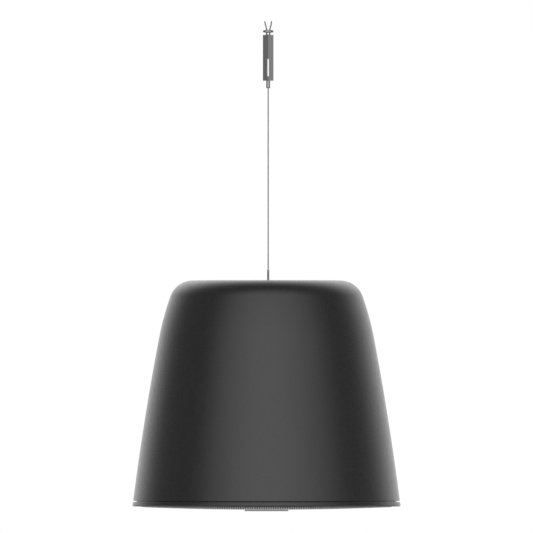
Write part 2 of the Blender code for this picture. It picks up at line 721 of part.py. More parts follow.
def make_shell(axis):
    """Turned bell with bosses inside its top for the bracket and above the baffle for its screws."""
    outer = shell_line(0.0)
    inner = shell_line(SHELL_WALL, counts=(3, 1, 1))
    profile = [(0, 0)] + outer + inner[::-1] + [(0, SHELL_WALL)]
    shell = turned("shell", below(profile), PAINT, steps=SHELL_STEPS, parent=axis)
    boss_low = -SHELL_WALL - BOSS_HEIGHT
    for side in (-1, 1):
        place = (side * BRACKET_SPACING / 2, 0)
        boss = drum(
            "bracket_boss", BOSS_RADIUS, boss_low, -SHELL_WALL / 2, None, 8, place, parent=axis, cutter=True
        )
        join(shell, boss)
    low = -BAFFLE_BACK + FIT
    for _, angle, place in ring_places(4, screw_circle(), math.radians(45)):
        high = low + BAFFLE_BOSS_HEIGHT
        boss = drum("baffle_boss", BAFFLE_BOSS_RADIUS, low, high, None, 8, place, parent=axis, cutter=True)
        join(shell, boss)
        reach = wall_radius(SHELL_WALL / 2, -high)
        middle = (screw_circle() + reach) / 2
        rib = block(
            "boss_rib",
            (reach - screw_circle(), BOSS_RIB, BAFFLE_BOSS_HEIGHT),
            None,
            place=(middle * math.cos(angle), middle * math.sin(angle), (low + high) / 2),
            turn=angle,
            parent=axis,
            cutter=True,
        )
        join(shell, rib)
    for side in (-1, 1):
        place = (side * BRACKET_SPACING / 2, 0)
        top = boss_low + BRACKET_SCREW_LENGTH
        bore = SCREW_RADIUS + BORE_FIT
        hole = drum("boss_hole", bore, boss_low - FIT, top, None, 8, place, parent=axis, cutter=True)
        cut(shell, hole)
    for _, _, place in ring_places(4, screw_circle(), math.radians(45)):
        top = -BAFFLE_FRONT + BAFFLE_SCREW_LENGTH + FIT
        bore = SCREW_RADIUS + BORE_FIT
        hole = drum("baffle_hole", bore, low - FIT, top, None, 8, place, parent=axis, cutter=True)
        cut(shell, hole)
    shank = drum(
        "ferrule_hole",
        FERRULE_RADIUS + BORE_FIT,
        -2 * SHELL_WALL,
        SHELL_WALL,
        None,
        12,
        (HANGER_OFFSET, 0),
        parent=axis,
        cutter=True,
    )
    insert = drum(
        "insert_hole",
        INSERT_RADIUS + BORE_FIT,
        -2 * SHELL_WALL,
        SHELL_WALL,
        None,
        16,
        (0, INSERT_PLACE),
        parent=axis,
        cutter=True,
    )
    margin = 2 * (CUP_FLANGE + FIT)
    seat = block(
        "cup_seat",
        (CUP_LENGTH + margin, CUP_WIDTH + margin, 2 * (CUP_FLANGE_SHEET + FIT)),
        None,
        place=(0, CUP_PLACE, 0),
        parent=axis,
        cutter=True,
    )
    well = block(
        "cup_well",
        (CUP_LENGTH + 2 * FIT, CUP_WIDTH + 2 * FIT, 4 * SHELL_WALL),
        None,
        place=(0, CUP_PLACE, 0),
        parent=axis,
        cutter=True,
    )
    for cutter in (shank, insert, seat, well):
        cut(shell, cutter)
    for place in cup_corner_places():
        hole = drum(
            "cup_screw_hole",
            SMALL_SCREW_RADIUS + BORE_FIT,
            -2 * SHELL_WALL,
            0,
            None,
            8,
            place,
            parent=axis,
            cutter=True,
        )
        cut(shell, hole)
    return shell


def grille_depth(radius):
    """Depth of the grille's lower face."""
    edge = RIM_BOTTOM + GRILLE_EDGE_DROP
    return edge + GRILLE_SAG * (1 - (radius / grille_radius()) ** 2)


def rim_outer():
    return wall_radius(0, SHELL_HEIGHT) + RIM_GAP / math.tan(shell_arcs(0)[2][4])


def grille_radius():
    return rim_outer() - RIM_BAND - FIT


def make_baffle(axis):
    """One moulding: the neck inside the shell, the rim under it and the plate that carries the driver."""
    fit = SHELL_WALL + FIT
    rim_top = rim_outer()
    rim_low = rim_top + RIM_HEIGHT / math.tan(shell_arcs(0)[2][4])
    seat = rim_top - RIM_BAND
    corner = arc((rim_low - RIM_ROUND, RIM_BOTTOM - RIM_ROUND), RIM_ROUND, 0, math.pi / 2, 2)
    profile = [
        (BASKET_THROAT + CUTOUT_FIT, BAFFLE_BACK),
        (wall_radius(fit, BAFFLE_BACK), BAFFLE_BACK),
        (wall_radius(fit, SHELL_HEIGHT), SHELL_HEIGHT),
        (wall_radius(fit, SHELL_HEIGHT), RIM_TOP),
        (rim_top, RIM_TOP),
        *corner,
        (seat, RIM_BOTTOM),
        (seat, LEDGE),
        (seat - LEDGE_WIDTH, LEDGE),
        (seat - LEDGE_WIDTH, BAFFLE_FRONT),
        (BASKET_THROAT + CUTOUT_FIT, BAFFLE_FRONT),
    ]
    baffle = turned("baffle", below(profile), PAINT, steps=SHELL_STEPS, parent=axis)
    for _, _, place in ring_places(4, magnet_circle(), MAGNET_TURN):
        low = magnet_low() + FIT
        boss = drum(
            "magnet_boss",
            MAGNET_RADIUS + MAGNET_BOSS_WALL,
            low,
            -BAFFLE_FRONT + BAFFLE_PLATE / 2,
            None,
            10,
            place,
            parent=axis,
            cutter=True,
        )
        join(baffle, boss)
        pocket = drum(
            "magnet_pocket",
            MAGNET_RADIUS + BORE_FIT,
            low - FIT,
            magnet_low() + MAGNET_HEIGHT + FIT,
            None,
            8,
            place,
            parent=axis,
            cutter=True,
        )
        cut(baffle, pocket)
    low, high = -BAFFLE_FRONT - FIT, -BAFFLE_BACK + FIT
    bores = [place for _, _, place in ring_places(4, screw_circle(), math.radians(45))]
    bores += [place for _, _, place in ring_places(4, DRIVER_SCREW_CIRCLE, math.radians(45))]
    radius = SCREW_RADIUS + BORE_FIT
    for place in bores:
        cut(baffle, drum("baffle_bore", radius, low, high, None, 8, place, parent=axis, cutter=True))
    radius = port_radius() + PORT_WALL + FIT
    place = (0, port_circle())
    return cut(baffle, drum("port_cut", radius, low, high, None, 16, place, parent=axis, cutter=True))


def magnet_low():
    """Height of the grille magnets' lower face, just above the grille."""
    return -grille_depth(magnet_circle() + MAGNET_RADIUS) + GRILLE_THICKNESS + MAGNET_GAP


def make_grille_magnets(axis):
    for number, _, place in ring_places(4, magnet_circle(), MAGNET_TURN):
        low = magnet_low()
        drum(f"grille_magnet_{number}", MAGNET_RADIUS, low, low + MAGNET_HEIGHT, STEEL, 8, place, parent=axis)


def hole_places(pitch, limit):
    """Centres of a staggered pattern, rows along X, out to a limit."""
    rows = math.ceil(limit / (pitch * math.sqrt(0.75)))
    columns = math.ceil(limit / pitch) + 1
    for row in range(-rows, rows + 1):
        y = row * pitch * math.sqrt(0.75)
        for column in range(-columns, columns + 1):
            x = (column + 0.5 * (row % 2)) * pitch
            if math.hypot(x, y) <= limit:
                yield x, y


def make_grille(axis):
    """Perforated sheet, punched flat and then pressed to a shallow dome."""
    curve = bpy.data.curves.new("grille", "CURVE")
    curve.dimensions = "2D"
    curve.fill_mode = "BOTH"
    curve.extrude = GRILLE_THICKNESS / 2
    edge = grille_radius()
    hole = HOLE_DIAMETER * HOLE_GROUP / 2
    outlines = [((0, 0), edge, SHELL_STEPS)]
    limit = edge - GRILLE_MARGIN - hole
    outlines += [(place, hole, HOLE_SIDES) for place in hole_places(HOLE_PITCH * HOLE_GROUP, limit)]
    for (x, y), radius, sides in outlines:
        spline = curve.splines.new("POLY")
        spline.points.add(sides - 1)
        spline.use_cyclic_u = True
        for i, point in enumerate(spline.points):
            angle = 2 * math.pi * i / sides
            point.co = (x + radius * math.cos(angle), y + radius * math.sin(angle), 0, 1)
    grille = to_mesh(add_object("grille", curve))
    for vertex in grille.data.vertices:
        radius = math.hypot(vertex.co.x, vertex.co.y)
        vertex.co.z += GRILLE_THICKNESS / 2 - grille_depth(radius)
    grille.parent = axis
    return finish(grille, DARK_STEEL)


def make_bare_plate(axis):
    """Flat plate under the middle of the grille, left bare."""
    top = -grille_depth(0) - FIT
    plate = block(
        "bare_plate",
        (PLATE_LENGTH, PLATE_WIDTH, PLATE_THICKNESS),
        STEEL,
        place=(0, 0, top - PLATE_THICKNESS / 2),
        parent=axis,
    )
    bevel = plate.modifiers.new("corners", "BEVEL")
    bevel.affect = "EDGES"
    bevel.limit_method = "WEIGHT"
    bevel.width = PLATE_CORNER
    bevel.segments = 4
    weights = plate.data.attributes.new("bevel_weight_edge", "FLOAT", "EDGE")
    for edge in plate.data.edges:
        ends = [plate.data.vertices[v].co for v in edge.vertices]
        weights.data[edge.index].value = float(abs(ends[0].z - ends[1].z) > PLATE_THICKNESS / 2)
    return plate


def make_screw(name, place, seat, length, axis, radius, head_radius, head_height, upward=True, sides=8):
    """Screw whose head bears at height seat; its shank runs up, or down where upward is false."""
    sign = 1 if upward else -1
    tip = seat + sign * length
    profile = [
        (0, tip),
        (radius, tip),
        (radius, seat),
        (head_radius, seat),
        (SCREW_HEAD_TAPER * head_radius, seat - sign * head_height),
        (0, seat - sign * head_height),
    ]
    return turned(name, profile, DARK_STEEL, steps=sides, place=(*place, 0), parent=axis)


def make_basket(axis):
    """Stamped frame: flange, arms with windows between them, spider seat and floor."""
    sheet = BASKET_SHEET
    fold = BASKET_FOLD * sheet
    seat_inner = SPIDER_SEAT_RADIUS - SPIDER_SEAT_WIDTH
    profile = [
        (BASKET_BORE_RADIUS, BASKET_FLOOR),
        (BASKET_FLOOR_RADIUS, BASKET_FLOOR),
        (seat_inner, SPIDER_SEAT - sheet),
        (SPIDER_SEAT_RADIUS, SPIDER_SEAT - sheet),
        (BASKET_THROAT, FLANGE_BACK - sheet),
        (BASKET_THROAT, FLANGE_BACK),
        (BASKET_RADIUS, FLANGE_BACK),
        (BASKET_RADIUS, FLANGE_FRONT),
        (BASKET_THROAT - sheet, FLANGE_FRONT),
        (BASKET_THROAT - sheet, FLANGE_BACK - fold / 2),
        (SPIDER_SEAT_RADIUS - fold / 2, SPIDER_SEAT),
        (seat_inner - fold, SPIDER_SEAT),
        (BASKET_FLOOR_RADIUS - fold, BASKET_FLOOR + sheet),
        (BASKET_BORE_RADIUS, BASKET_FLOOR + sheet),
    ]
    basket = turned("basket", below(profile), DARK_STEEL, steps=20, parent=axis)
    inner, outer = SPIDER_SEAT_RADIUS + sheet, BASKET_THROAT
    middle = (inner + outer) / 2
    spacing = 2 * math.pi * inner / BASKET_WINDOWS
    height = FLANGE_BACK - SPIDER_SEAT - 2 * BASKET_WINDOW_MARGIN
    for _, angle, place in ring_places(BASKET_WINDOWS, middle, math.pi / BASKET_WINDOWS):
        window = block(
            "basket_window",
            (2 * (outer - inner), spacing - BASKET_ARM_WIDTH, height),
            None,
            place=(*place, -(FLANGE_BACK + SPIDER_SEAT) / 2),
            turn=angle,
            parent=axis,
            cutter=True,
        )
        cut(basket, window)
    for _, _, place in ring_places(4, DRIVER_SCREW_CIRCLE, math.radians(45)):
        low, high = -FLANGE_FRONT - FIT, -FLANGE_BACK + FIT
        bore = SCREW_RADIUS + BORE_FIT
        cut(basket, drum("flange_bore", bore, low, high, None, 8, place, parent=axis, cutter=True))
    return basket


def make_motor(axis):
    """Front plate, ring magnet and the yoke whose pole stands inside the coil."""
    front = BASKET_FLOOR - FIT
    middle = front - FRONT_PLATE_HEIGHT - FIT
    back = middle - MAGNET_RING_HEIGHT - FIT
    for name, outer, inner, low, height, look in (
        ("front_plate", FRONT_PLATE_RADIUS, FRONT_PLATE_BORE, front, FRONT_PLATE_HEIGHT, STEEL),
        ("magnet_ring", MAGNET_RING_RADIUS, MAGNET_RING_BORE, middle, MAGNET_RING_HEIGHT, BLACK),
    ):
        profile = [(outer, low - height), (outer, low), (inner, low), (inner, low - height)]
        turned(name, below(profile), look, steps=20, parent=axis)
    profile = [
        (0, back - YOKE_HEIGHT),
        (YOKE_RADIUS, back - YOKE_HEIGHT),
        (YOKE_RADIUS, back),
        (POLE_RADIUS, back),
        (POLE_RADIUS, pole_end()),
        (0, pole_end()),
    ]
    turned("pole_yoke", below(profile), STEEL, steps=20, parent=axis)


def pole_end():
    return BASKET_FLOOR + BASKET_SHEET


def make_voice_coil(axis):
    """Coil former with its winding in the magnet's gap, glued to the cone's neck."""
    front = CONE_NECK + 2 * CONE_SHEET
    back = front - COIL_LENGTH
    winding = BASKET_FLOOR - FIT - FRONT_PLATE_HEIGHT / 2
    inner = COIL_RADIUS - COIL_SHEET
    profile = [
        (COIL_RADIUS, back),
        (COIL_RADIUS, winding - COIL_WINDING_LENGTH / 2),
        (COIL_RADIUS + COIL_WINDING, winding - COIL_WINDING_LENGTH / 2),
        (COIL_RADIUS + COIL_WINDING, winding + COIL_WINDING_LENGTH / 2),
        (COIL_RADIUS, winding + COIL_WINDING_LENGTH / 2),
        (COIL_RADIUS, front),
        (inner, front),
        (inner, back),
    ]
    turned("voice_coil", below(profile), BRASS, steps=16, parent=axis)


def make_spider(axis):
    """Corrugated disc between the coil and its seat in the basket."""
    inner, outer = COIL_RADIUS + FIT, SPIDER_SEAT_RADIUS - BASKET_SHEET
    base = SPIDER_SEAT + FIT
    flat = SPIDER_SEAT_WIDTH
    count = 2 * SPIDER_FOLD_COUNT
    line = [(inner, base)]
    for i in range(count + 1):
        radius = inner + flat / 4 + (outer - flat - inner - flat / 4) * i / count
        line.append((radius, base - (SPIDER_WAVE if i % 2 else 0)))
    line.append((outer, base))
    profile = line + [(radius, depth + SPIDER_SHEET) for radius, depth in line[::-1]]
    turned("spider", below(profile), ((0.45, 0.3, 0.12), 0.8), steps=16, parent=axis)


def make_cone(axis):
    inner, outer = COIL_RADIUS + FIT, CONE_EDGE_RADIUS
    line = []
    for i in range(CONE_STEPS + 1):
        share = i / CONE_STEPS
        radius = inner + (outer - inner) * share
        bow = CONE_BOW * 4 * share * (1 - share)
        line.append((radius, CONE_NECK + (CONE_EDGE - CONE_SHEET - CONE_NECK) * share + bow))
    profile = line + [(radius, depth + CONE_SHEET) for radius, depth in line[::-1]]
    turned("cone", below(profile), BLACK, steps=20, parent=axis)


def make_surround(axis):
    """Half-roll rubber ring between the cone's edge and the basket's flange."""
    middle = (SURROUND_INNER + SURROUND_OUTER) / 2
    roll = (SURROUND_OUTER - SURROUND_INNER) / 2
    back, front = SURROUND_BACK, SURROUND_BACK + SURROUND_SHEET
    outer_line = arc((middle, front), roll, math.pi, 0, 5)
    inner_line = arc((middle, back), roll - SURROUND_SHEET, 0, math.pi, 3)
    profile = [
        (SURROUND_INNER - SURROUND_LIP, front),
        *outer_line,
        (SURROUND_EDGE, front),
        (SURROUND_EDGE, back),
        *inner_line,
        (SURROUND_INNER - SURROUND_LIP, back),
    ]
    turned("surround", below(profile), BLACK, steps=20, parent=axis)


def make_gasket(axis):
    back = SURROUND_BACK + SURROUND_SHEET + FIT
    outer, inner = SURROUND_EDGE, SURROUND_EDGE - GASKET_WIDTH
    profile = [
        (outer, back),
        (outer, back + GASKET_HEIGHT),
        (inner, back + GASKET_HEIGHT),
        (inner, back),
    ]
    turned("driver_gasket", below(profile), BLACK, steps=20, parent=axis)


def make_tweeter(axis):
    """Tweeter on the pole's end, in the middle of the cone, with its dome and bezel."""
    back = pole_end() + FIT
    front = back + TWEETER_LENGTH
    step = TWEETER_BEZEL_RADIUS - TWEETER_RADIUS
    bowl = TWEETER_DOME_RADIUS + FIT
    profile = [
        (0, back),
        (TWEETER_RADIUS, back),
        (TWEETER_RADIUS, front - 1.5 * step),
        (TWEETER_BEZEL_RADIUS, front - 0.5 * step),
        (TWEETER_BEZEL_RADIUS, front),
        (TWEETER_BEZEL_RADIUS - 0.3 * step, front + 0.3 * step),
        (bowl, front - 0.2 * step),
        (bowl, front - step),
        (0, front - step),
    ]
    turned("tweeter_body", below(profile), PLASTIC, steps=16, parent=axis)
    seat = front - step + FIT
    dome = [(0, seat), (TWEETER_DOME_RADIUS, seat)]
    steps = TWEETER_DOME_STEPS
    for i in range(steps + 1):
        angle = math.pi / 2 * i / steps
        height = TWEETER_DOME_EDGE + (TWEETER_DOME_HEIGHT - TWEETER_DOME_EDGE) * math.sin(angle)
        dome.append((TWEETER_DOME_RADIUS * math.cos(angle) if i < steps else 0, seat + height))
    turned("tweeter_dome", below(dome), BLACK, steps=16, parent=axis)


def make_port(axis):
    """Flared bass port through the baffle."""
    flange = FLANGE_BACK
    front = flange + PORT_FLANGE_SHEET
    outer = port_radius() + PORT_WALL
    lip = outer + PORT_FLANGE - PORT_WALL / 2
    profile = [
        (outer, BAFFLE_FRONT - PORT_LENGTH),
        (outer, flange),
        (lip, flange),
        (lip, front),
        (outer, front),
        (port_radius() + PORT_FLARE * PORT_WALL, front - PORT_FLARE * PORT_FLANGE),
        (port_radius(), front - PORT_FLANGE),
        (port_radius(), BAFFLE_FRONT - PORT_LENGTH),
    ]
    turned("port_tube", below(profile), PLASTIC, steps=16, place=(0, port_circle(), 0), parent=axis)


def make_bracket(axis):
    """Steel strip screwed to two bosses inside the top, which carries the ferrule and the transformer."""
    low = -BRACKET_TOP - BRACKET_SHEET
    bracket = block(
        "top_bracket",
        (BRACKET_LENGTH, BRACKET_WIDTH, BRACKET_SHEET),
        STEEL,
        place=(0, 0, low + BRACKET_SHEET / 2),
        parent=axis,
    )
    holes = [((side * BRACKET_SPACING / 2, 0), SCREW_RADIUS) for side in (-1, 1)]
    holes.append(((HANGER_OFFSET, 0), FERRULE_RADIUS))
    for place, radius in holes:
        top, radius = FIT - BRACKET_TOP, radius + BORE_FIT
        cut(bracket, drum("bracket_bore", radius, low - FIT, top, None, 12, place, parent=axis, cutter=True))
    for number, side in ((1, -1), (2, 1)):
        make_screw(
            f"bracket_screw_{number}",
            (side * BRACKET_SPACING / 2, 0),
            low - FIT,
            BRACKET_SHEET + BRACKET_SCREW_LENGTH,
            axis,
            SCREW_RADIUS,
            SCREW_HEAD_RADIUS,
            SCREW_HEAD_HEIGHT,
        )


def make_transformer(axis):
    """Line transformer: an iron stack with the wound bobbin standing out of its two open sides."""
    top = -BRACKET_TOP - BRACKET_SHEET - FIT
    screw_edge = SCREW_HEAD_RADIUS - BRACKET_SPACING / 2
    ferrule_edge = HANGER_OFFSET - FERRULE_HEAD_RADIUS
    place = ((screw_edge + ferrule_edge) / 2, 0, top - TRANSFORMER_HEIGHT / 2)
    core = block(
        "transformer",
        (TRANSFORMER_LENGTH, TRANSFORMER_STACK, TRANSFORMER_HEIGHT),
        STEEL,
        place=place,
        parent=axis,
    )
    coil = block(
        "transformer_coil",
        (TRANSFORMER_COIL_LENGTH, TRANSFORMER_WIDTH, TRANSFORMER_COIL_HEIGHT),
        None,
        place=place,
        parent=axis,
        cutter=True,
    )
    return join(core, coil)


def make_safety_insert(axis):
    """Threaded insert flush with the top, for a second safety line."""
    profile = [
        (INSERT_RADIUS, FIT),
        (INSERT_RADIUS, SHELL_WALL + FIT),
        (INSERT_FLANGE, SHELL_WALL + FIT),
        (INSERT_FLANGE, SHELL_WALL + FIT + BRACKET_SHEET),
        (INSERT_RADIUS, SHELL_WALL + FIT + BRACKET_SHEET),
        (INSERT_RADIUS, INSERT_LENGTH),
        (INSERT_BORE, INSERT_LENGTH),
        (INSERT_BORE, FIT),
    ]
    turned("safety_insert", below(profile), STEEL, steps=14, place=(0, INSERT_PLACE, 0), parent=axis)


def make_terminal_cup(axis):
    """Tray sunk in the shell's flat top, with a flush flange and four screws."""
    flange = block(
        "terminal_cup",
        (CUP_LENGTH + 2 * CUP_FLANGE, CUP_WIDTH + 2 * CUP_FLANGE, CUP_FLANGE_SHEET),
        PLASTIC,
        place=(0, CUP_PLACE, -CUP_FLANGE_SHEET / 2),
        parent=axis,
    )
    tray = block(
        "cup_tray",
        (CUP_LENGTH, CUP_WIDTH, CUP_FLOOR - CUP_FLANGE_SHEET / 2),
        None,
        place=(0, CUP_PLACE, -(CUP_FLOOR + CUP_FLANGE_SHEET / 2) / 2),
        parent=axis,
        cutter=True,
    )
    hollow = block(
        "cup_hollow",
        (CUP_LENGTH - 2 * CUP_WALL, CUP_WIDTH - 2 * CUP_WALL, 2 * CUP_DEPTH),
        None,
        place=(0, CUP_PLACE, 0),
        parent=axis,
        cutter=True,
    )
    join(flange, tray)
    cut(flange, hollow)
    shaft = drum(
        "shaft_hole",
        SHAFT_RADIUS + BORE_FIT,
        -2 * CUP_FLOOR,
        -CUP_DEPTH / 2,
        None,
        16,
        (SELECTOR_PLACE, CUP_PLACE),
        parent=axis,
        cutter=True,
    )
    cut(flange, shaft)
    for number, place in enumerate(cup_corner_places(), start=1):
        seat = -SMALL_HEAD_HEIGHT - FIT
        bore = drum(
            "cup_bore", SMALL_SCREW_RADIUS + BORE_FIT, -CUP_FLANGE_SHEET - FIT, seat, None, 6, place,
            parent=axis, cutter=True,
        )
        radius = SMALL_HEAD_RADIUS + 2 * FIT
        sink = drum("cup_sink", radius, seat - FIT, FIT, None, 8, place, parent=axis, cutter=True)
        cut(cut(flange, bore), sink)
        make_screw(
            f"cup_screw_{number}", place, seat, SMALL_SCREW_LENGTH, axis, SMALL_SCREW_RADIUS, SMALL_HEAD_RADIUS,
            SMALL_HEAD_HEIGHT, upward=False,
        )
    return flange


def pole_places():
    for i in range(POLES):
        yield i + 1, BLOCK_PLACE + (i - (POLES - 1) / 2) * POLE_PITCH


def make_terminal_block(axis):
    """Four-pole screw terminal on the cup's floor: wires enter from the side, screws from above."""
    low = -CUP_DEPTH + FIT
    middle = low + BLOCK_HEIGHT / 2
    body = block(
        "terminal_block",
        (BLOCK_LENGTH, BLOCK_WIDTH, BLOCK_HEIGHT),
        GREY_PLASTIC,
        place=(BLOCK_PLACE, CUP_PLACE, middle),
        parent=axis,
    )
    for number, x in pole_places():
        head = drum(
            "pole_bore", POLE_BORE, middle, low + BLOCK_HEIGHT + FIT, None, 8, (x, CUP_PLACE),
            parent=axis, cutter=True,
        )
        entry = block(
            "wire_entry",
            (2 * POLE_BORE, BLOCK_WIDTH, ENTRY_HEIGHT),
            None,
            place=(x, CUP_PLACE - BLOCK_WIDTH + ENTRY_DEPTH, low + ENTRY_HEIGHT),
            parent=axis,
            cutter=True,
        )
        cut(cut(body, head), entry)
        screw = drum(
            f"terminal_screw_{number}",
            POLE_BORE - BORE_FIT,
            middle + FIT,
            middle + POLE_SCREW_TOP,
            STEEL,
            8,
            (x, CUP_PLACE),
            parent=axis,
        )
        slot = block(
            "screw_slot",
            (3 * POLE_BORE, POLE_SLOT_WIDTH, 2 * POLE_SLOT_DEPTH),
            None,
            place=(x, CUP_PLACE, middle + POLE_SCREW_TOP),
            turn=POLE_SLOT_TURN,
            parent=axis,
            cutter=True,
        )
        cut(screw, slot)
    return body


def make_selector(axis):
    """Power-tap switch under the cup's floor and its fluted knob above it."""
    shaft_axis = (SELECTOR_PLACE, CUP_PLACE, 0)
    top = CUP_FLOOR + FIT
    bore = SHAFT_RADIUS + BORE_FIT
    profile = [
        (bore, top),
        (SELECTOR_RADIUS, top),
        (SELECTOR_RADIUS, top + SELECTOR_HEIGHT),
        (0, top + SELECTOR_HEIGHT),
        (0, CUP_DEPTH + SHAFT_LENGTH + FIT),
        (bore, CUP_DEPTH + SHAFT_LENGTH + FIT),
    ]
    turned("selector_body", below(profile), PLASTIC, steps=16, place=shaft_axis, parent=axis)
    low = CUP_DEPTH - FIT
    profile = [
        (0, low - KNOB_HEIGHT),
        (KNOB_TOP * KNOB_RADIUS, low - KNOB_HEIGHT),
        (KNOB_SHOULDER * KNOB_RADIUS, low - KNOB_HEIGHT + KNOB_CHAMFER),
        (KNOB_RADIUS, low),
        (SHAFT_RADIUS, low),
        (SHAFT_RADIUS, CUP_DEPTH + SHAFT_LENGTH),
        (0, CUP_DEPTH + SHAFT_LENGTH),
    ]
    knob = turned(
        "tap_selector_knob", below(profile), GREY_PLASTIC, steps=KNOB_STEPS, place=shaft_axis, parent=axis
    )
    for _, _, place in ring_places(KNOB_FLUTES, KNOB_RADIUS + KNOB_FLUTE_INSET, math.pi / KNOB_STEPS):
        flute = drum(
            "knob_flute",
            KNOB_FLUTE_RADIUS,
            -low - FIT,
            -low + KNOB_FLUTE_LENGTH,
            None,
            6,
            (SELECTOR_PLACE + place[0], CUP_PLACE + place[1]),
            parent=axis,
            cutter=True,
        )
        cut(knob, flute)
    pointer = block(
        "knob_pointer",
        (POINTER_LENGTH, POINTER_WIDTH, 2 * POINTER_DEPTH),
        None,
        place=(SELECTOR_PLACE + KNOB_RADIUS / 2, CUP_PLACE, -low + KNOB_HEIGHT),
        parent=axis,
        cutter=True,
    )
    return cut(knob, pointer)


def make_crossover(axis):
    """Circuit board carried under the selector switch, with its coil and capacitors below it."""
    block(
        "crossover_board",
        (BOARD_LENGTH, BOARD_WIDTH, BOARD_THICKNESS),
        ((0.05, 0.2, 0.1), 0.5),
        place=(0, CUP_PLACE + BOARD_OFFSET, -BOARD_TOP - BOARD_THICKNESS / 2),
        parent=axis,
    )
    seat = BOARD_TOP + BOARD_THICKNESS + FIT
    profile = [
        (INDUCTOR_BORE, seat),
        (INDUCTOR_RADIUS, seat),
        (INDUCTOR_RADIUS, seat + INDUCTOR_HEIGHT),
        (INDUCTOR_BORE, seat + INDUCTOR_HEIGHT),
    ]
    place = (INDUCTOR_PLACE, CUP_PLACE, 0)
    turned("inductor", below(profile), BRASS, steps=16, place=place, parent=axis)
    for number, side in ((1, -1), (2, 1)):
        y = CUP_PLACE + side * (CAPACITOR_RADIUS + CAPACITOR_GAP / 2)

        def build(shape):
            turn = Matrix.Rotation(math.pi / 2, 4, "Y")
            bmesh.ops.create_cone(
                shape, cap_ends=True, segments=12, radius1=CAPACITOR_RADIUS, radius2=CAPACITOR_RADIUS,
                depth=CAPACITOR_LENGTH, matrix=turn,
            )

        name = f"capacitor_{number}"
        place = (CAPACITOR_PLACE, y, -seat - CAPACITOR_RADIUS)
        body = add_object(name, mesh_of(name, build), place=place, parent=axis)
        finish(body, ((0.08, 0.16, 0.3), 0.5))


def make_wadding(axis):
    """Soft lining against the inside of the wall."""
    reach = WADDING_BOTTOM - WADDING_TOP
    depths = [WADDING_TOP + reach * i / WADDING_STEPS for i in range(WADDING_STEPS + 1)]
    outer = [(wall_radius(SHELL_WALL + 2 * FIT, depth), depth) for depth in depths]
    inner = [(radius - WADDING_THICKNESS, depth) for radius, depth in outer[::-1]]
    turned("wadding", below(outer + inner), ((0.5, 0.5, 0.48), 0.95), steps=20, parent=axis)


def make_screws(axis):
    for number, _, place in ring_places(4, screw_circle(), math.radians(45)):
        seat = -BAFFLE_FRONT - FIT
        make_screw(
            f"baffle_screw_{number}", place, seat, BAFFLE_SCREW_LENGTH, axis, SCREW_RADIUS, SCREW_HEAD_RADIUS,
            SCREW_HEAD_HEIGHT,
        )
    for number, _, place in ring_places(4, DRIVER_SCREW_CIRCLE, math.radians(45)):
        seat = -FLANGE_FRONT - FIT
        make_screw(
            f"driver_screw_{number}", place, seat, BAFFLE_PLATE + BASKET_SHEET, axis, SCREW_RADIUS,
            SCREW_HEAD_RADIUS, SCREW_HEAD_HEIGHT,
        )


def make_hanger():
    make_anchor_head()
    make_anchor_prongs()
    make_gripper_body()
    make_gripper_bush()
    make_release_nozzle()
    make_nozzle_spring()
    make_grip_collet()
    make_wire()
    make_ferrule()


def make_speaker():
    axis = bpy.data.objects.new("speaker_axis", None)
    PARTS.objects.link(axis)
    axis.location = (-HANGER_OFFSET, 0, SHELL_TOP)
    bpy.context.view_layer.update()
    for make in (
        make_shell,
        make_baffle,
        make_grille_magnets,
        make_grille,
        make_bare_plate,
        make_basket,
        make_motor,
        make_voice_coil,
        make_spider,
        make_cone,
        make_surround,
        make_gasket,
        make_tweeter,
        make_port,
        make_bracket,
        make_transformer,
        make_safety_insert,
        make_terminal_cup,
        make_terminal_block,
        make_selector,
        make_crossover,
        make_wadding,
        make_screws,
    ):
        make(axis)


clear_scene()
PARTS = new_collection("pendant_speaker")
CUTTERS = new_collection("cutters")
make_hanger()
make_speaker()
bpy.context.view_layer.update()
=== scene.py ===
"""Looks of the pendant loudspeaker: fine shapes, finishes and the studio of the photograph's view."""
import json
import math

import bmesh
import bpy
from mathutils import Matrix, Vector, noise

